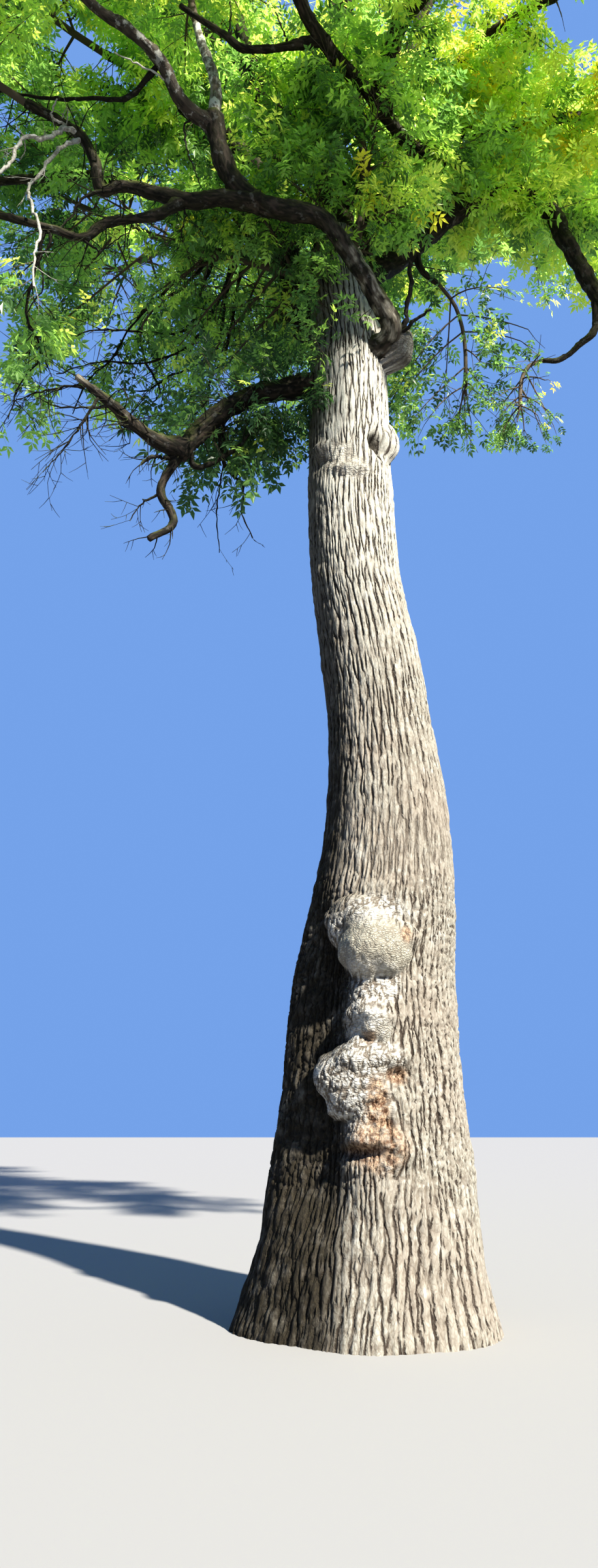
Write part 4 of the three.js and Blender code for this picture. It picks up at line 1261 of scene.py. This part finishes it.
# leafy shoots that hide a limb: mass, limb, stretch of it, distance between shoots
COVERED = [
    ("front_right", "front_right_bough", 700, 9000, 50),
    ("far_right", "far_right_bough", 700, 9000, 26),
    ("right_front", "right_front_bough", 700, 9000, 36),
    ("left_high", "left_high_bough", 1300, 9000, 45),
    ("right_back", "right_back_bough", 700, 9000, 55),
    ("right_end", "right_bough_fall", 0, 780, 22),
    ("right_end", "right_bough", 1900, 2600, 35),
    ("fork", "over_bough", 0, 860, 40),
    ("trunk_left", "trunk", 8750, 9900, 70),
    ("trunk_left", "dead_bough", 60, 1300, 26),
    ("left", "dead_bough", 1000, 1900, 60),
    ("left", "long_0", 500, 9000, 130),
    ("left", "long_1", 500, 9000, 150),
    ("left", "long_2", 500, 9000, 150),
    ("left", "long_5", 400, 9000, 90),
    ("left", "long_6", 300, 9000, 80),
    ("left", "long_7", 500, 9000, 140),
    ("left", "long_8", 300, 9000, 150),
]
leaves = {group: [] for group in GROUPS}
wood = {group: Tubes() for group in GROUPS}
# the share of shoots without leaves, by mass
BARE = {"left_low": 0.40, "left": 0.26, "trunk_left": 0.15, "left_front": 0.15}


def straight(start, end, radii, bow, steps):
    """A path from start to end that bows by the given offset at its middle."""
    return trace(bezier(start, start.lerp(end, 0.5) + bow, end, steps), radii, 1)


def grow(name, index, group):
    """Grows one mass by the part's rule, carried on to shoots and compound leaves."""
    dice = np.random.default_rng(FOLIAGE_SEED + index)
    stem = stems[name]
    droop = HANGING_DROOP if name in HANGING else DROOP
    weights = tint_weights(name)
    size = min(1.0, MASSES[name][1][0] / 1500)
    leaf_size = LEAF_LENGTH * size * SMALL.get(name, 1.0)
    thick = THICK.get(name, 1.0)
    pairs = round(PAIRS * thick ** 0.5)
    tubes, batch = wood[group], leaves[group]
    tubes.add([s for i, s in enumerate(stem) if i % 2 == 0 or i == len(stem) - 1], 7)

    def add_leaf(base, direction, tint, length):
        direction = (direction - UP * dice.uniform(0.05, 0.45)).normalized()
        normal = UP - direction * UP.dot(direction)
        normal = normal.normalized() if normal.length > 1e-3 else sideways_from(direction, 0)
        normal.rotate(Quaternion(direction, dice.normal(0, 0.55)))
        if dice.random() < STRAY_TINTS:
            tint = int(dice.choice(len(TINTS), p=weights))
        batch.append((base, direction, normal, length, dice.integers(6), tint))

    def add_shoot(start, direction, length, radius, bare, free=False, shaded=False):
        direction = (direction - UP * droop * dice.uniform(0.0, 0.5)).normalized()
        end = start + direction * length
        while not free and length > SHOOT_LEAST and not in_own_space(index, end):
            length *= 0.7
            end = start + direction * length
        if not (free or in_own_space(index, end)) or not clear_of_limbs(end, SHOOT_ROOM):
            return
        bow = sideways_from(direction, dice.uniform(0, 6.3)) * length * 0.08
        path = straight(start, end, (radius, 2.5), bow, 2)
        if dice.random() < 0.7 * in_opening(np.array(end) * MM)[0]:
            return
        tubes.add(path, 3)
        if bare:
            return
        tint = SHADE if shaded else int(dice.choice(len(TINTS), p=weights))
        leaf_pairs = max(1, int(length / LEAF_STEP) - 1)
        for pair in range(leaf_pairs):
            share = 0.3 + 0.62 * pair / max(1, leaf_pairs - 1)
            station = station_at(path, path[-1].distance * share)
            roll = pair * math.pi / 2 + dice.normal(0, 0.3)
            for side in (0, math.pi):
                if dice.random() < MISSING_LEAVES:
                    continue
                aim = shoot_direction(station.tangent, dice.uniform(0.7, 1.15), roll + side)
                add_leaf(station.point, aim, tint, leaf_size * dice.uniform(0.8, 1.15))
        tip = path[-1]
        for roll in (0.0, 2.1, 4.2):
            spread = dice.uniform(0.15, 0.7)
            aim = shoot_direction(tip.tangent, spread, roll + dice.uniform(-0.5, 0.5))
            add_leaf(tip.point, aim, tint, leaf_size * dice.uniform(0.85, 1.2))

    def add_twig(station, direction, radius):
        length, step = 0.0, 50.0
        while in_own_space(index, station.point + direction * (length + step)):
            length += step
        length = max(TWIG_LEAST, length - LOW_EDGE.get(name, EDGE))
        end = station.point + direction * length
        if not in_own_space(index, end) or not clear_of_limbs(end, TWIG_ROOM):
            return
        bow = (UP * 0.10 + sideways_from(direction, dice.uniform(0, 6.3)) * 0.05) * length
        path = straight(station.point, end, (radius, max(5.0, radius * 0.35)), bow, 5)
        tubes.add(path, 5)
        count = max(1, int(thick * length / SHOOT_STEP))
        for place in range(count):
            share = 0.22 + 0.72 * (place + dice.uniform(-0.3, 0.3)) / count
            node = station_at(path, path[-1].distance * min(0.97, share))
            roll = place * math.pi / 2 + dice.normal(0, 0.3)
            for side in (0, math.pi):
                reach = dice.uniform(330, 620) * (1.15 - 0.5 * share) * size ** 0.5
                aim = shoot_direction(node.tangent, dice.uniform(0.7, 1.1), roll + side)
                bare = dice.random() < BARE.get(name, 0.05)
                add_shoot(node.point, aim, reach, max(4.0, node.radius * 0.5), bare)
        for roll in (0.0, math.pi):
            aim = shoot_direction(path[-1].tangent, 0.5, roll + dice.uniform(-0.6, 0.6))
            add_shoot(path[-1].point, aim, dice.uniform(260, 420), 4.5, False)
        add_shoot(path[-1].point, path[-1].tangent, dice.uniform(300, 450), 5.0, False)

    reach = stem[-1].distance
    for pair in range(pairs):
        place = 0.16 + 0.82 * pair / (pairs - 1)
        station = station_at(stem, reach * place)
        roll = pair * math.pi / 2 + dice.normal(0, 0.25)
        spread = TWIG_SPREADS[0] + (TWIG_SPREADS[1] - TWIG_SPREADS[0]) * place
        for side in (0, math.pi):
            aim = shoot_direction(station.tangent, spread + dice.normal(0, 0.08), roll + side)
            aim = (aim - UP * 0.5 * droop).normalized()
            add_twig(station, aim, TWIG_SHARE * station.radius)
    for spread, roll in ((0.1, 0), (0.8, 0.6), (0.8, 2.7), (0.8, 4.8)):
        aim = shoot_direction(stem[-1].tangent, spread, roll + dice.normal(0, 0.2))
        add_twig(stem[-1], aim, TWIG_SHARE * stem[-1].radius)
    for _, limb, place, last, step in (row for row in COVERED if row[0] == name):
        path = long_paths[int(limb[5:])] if limb.startswith("long_") else paths[limb]
        while place < min(last, path[-1].distance):
            node = station_at(path, place)
            if limb == "trunk":
                aim = heading(dice.uniform(-170, -60), dice.uniform(-30, 30))
                start = node.point + Vector((aim.x, aim.y, 0)).normalized() * node.radius
            else:
                aim = shoot_direction(node.tangent, dice.uniform(0.9, 1.5), dice.uniform(0, 6.3))
                if limb.endswith("_bough") and limb not in LIMBS:
                    aim = (aim + (EYE / MM - node.point).normalized() * 0.8).normalized()
                start = node.point
            short = limb == "trunk" or limb.startswith("long_")
            reach = dice.uniform(*(280, 480) if short else (420, 760))
            add_shoot(start, aim, reach, 6.0, False, True, limb == "dead_bough")
            place += step


for group, members in GROUPS.items():
    for name in members:
        grow(name, NAMES.index(name), group)


# ---- A compound leaf --------------------------------------------------------------------
def leaflet(root, aim, length, width, dip):
    """Four points of one leaflet folded along its midrib: root, a belly, tip, the other belly."""
    aim = aim / np.linalg.norm(aim)
    side = np.cross([0, 0, 1], aim)
    side /= np.linalg.norm(side)
    lift = np.array([0, 0, 1.0])
    rib = root + aim * length * 0.42 + lift * (0.16 * width - dip * length * 0.18)
    tip = root + aim * length - lift * dip * length
    return np.array([root, rib + side * width * 0.5, tip, rib - side * width * 0.5])


def leaf_shape(number, dice):
    """A leaf of unit length along x: a thin stalk and its leaflets, upper side to +z."""
    verts = [np.array([[0, 0.007, 0], [0, -0.007, 0], [0.85, -0.004, 0.02], [0.85, 0.004, 0.02]])]
    pairs = (number - 1) // 2
    for pair in range(pairs):
        x = 0.34 + 0.44 * pair / max(1, pairs - 1)
        root = np.array([x, 0, 0.06 * math.sin(math.pi * x)])
        for side in (-1, 1):
            angle = math.radians(dice.uniform(46, 66)) * side
            aim = np.array([math.cos(angle), math.sin(angle), dice.uniform(-0.4, 0.2)])
            sizes = [dice.uniform(*ends) for ends in ((0.34, 0.42), (0.15, 0.18), (0.02, 0.18))]
            verts.append(leaflet(root, aim, *sizes))
    aim = np.array([1.0, dice.uniform(-0.15, 0.15), -0.25])
    verts.append(leaflet(np.array([0.82, 0, 0.03]), aim, dice.uniform(0.40, 0.48), 0.18, 0.1))
    return np.vstack(verts)


dice = np.random.default_rng(5)
SHAPES = [leaf_shape(n, dice) for n in (5, 7, 5, 7, 5, 7)]
# no leaf's tip lies further past the CAD box than this, in metres
PAST_BOX = 0.15
LOWEST, HIGHEST = np.array(cad_box[0]) - PAST_BOX, np.array(cad_box[1]) + PAST_BOX
# twigs are too thin for a pattern
twig_bark = one_tone("twig_bark", (0.075, 0.058, 0.042))
for group, members in GROUPS.items():
    nodes = ["foliage_" + name for name in members]
    piece = wood[group].piece("twigs_" + group, twig_bark)
    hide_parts(*nodes)
    base, along, normal, length, shape, tint = (np.array(field) for field in zip(*leaves[group]))
    reach = along * length[:, None]
    tip = (base + reach) * MM
    within = np.all((tip > LOWEST) & (tip < HIGHEST), axis=1)
    middle = (base + reach * 0.5) * MM
    fate = np.random.default_rng(3).random((2, len(base)))
    keep = within & (fate[0] > in_opening(middle)) & (fate[1] >= hides_limb(middle))
    verts, tints = [], []
    for number, points in enumerate(SHAPES):
        mine = keep & (shape == number)
        basis = np.stack([along[mine], np.cross(normal[mine], along[mine]), normal[mine]], axis=1)
        placed = np.einsum("pk,nkj->npj", points, basis) * length[mine, None, None]
        verts.append((placed + base[mine, None, :]).reshape(-1, 3) * MM)
        tints.append(np.repeat(tint[mine], len(points) // 4))
    verts = np.vstack(verts)
    piece = new_object(
        "leaves_" + group, verts, np.arange(len(verts)).reshape(-1, 4), leaf_materials,
        np.concatenate(tints), smooth_faces=False,
    )
    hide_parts(*nodes)

# ---- Stage ------------------------------------------------------------------------------
floor_mesh = bpy.data.meshes.new("floor")
corners = [(-60, -60, 0), (60, -60, 0), (60, 60, 0), (-60, 60, 0)]
floor_mesh.from_pydata(corners, [], [(0, 1, 2, 3)])
floor_mesh.materials.append(one_tone("floor_look", (0.25, 0.245, 0.235), 0.9, 0.1))
floor = add_object("floor", floor_mesh)

world = bpy.data.worlds.new("studio")
world.use_nodes = True
world.node_tree.nodes["Background"].inputs[0].default_value = (0.25, 0.47, 0.98, 1)
world.node_tree.nodes["Background"].inputs[1].default_value = 0.50
bpy.context.scene.world = world

sun = add_object("sun", bpy.data.lights.new("sun", "SUN"))
sun.data.energy = 9.5
sun.data.angle = math.radians(1.6)
sun.data.color = (1.0, 0.95, 0.86)
sun.rotation_euler = heading(-53, 37).to_track_quat("Z", "Y").to_euler()

scene = bpy.context.scene
scene.view_settings.view_transform = "Standard"
scene.view_settings.look = "Medium High Contrast"
scene.view_settings.exposure = 0.5
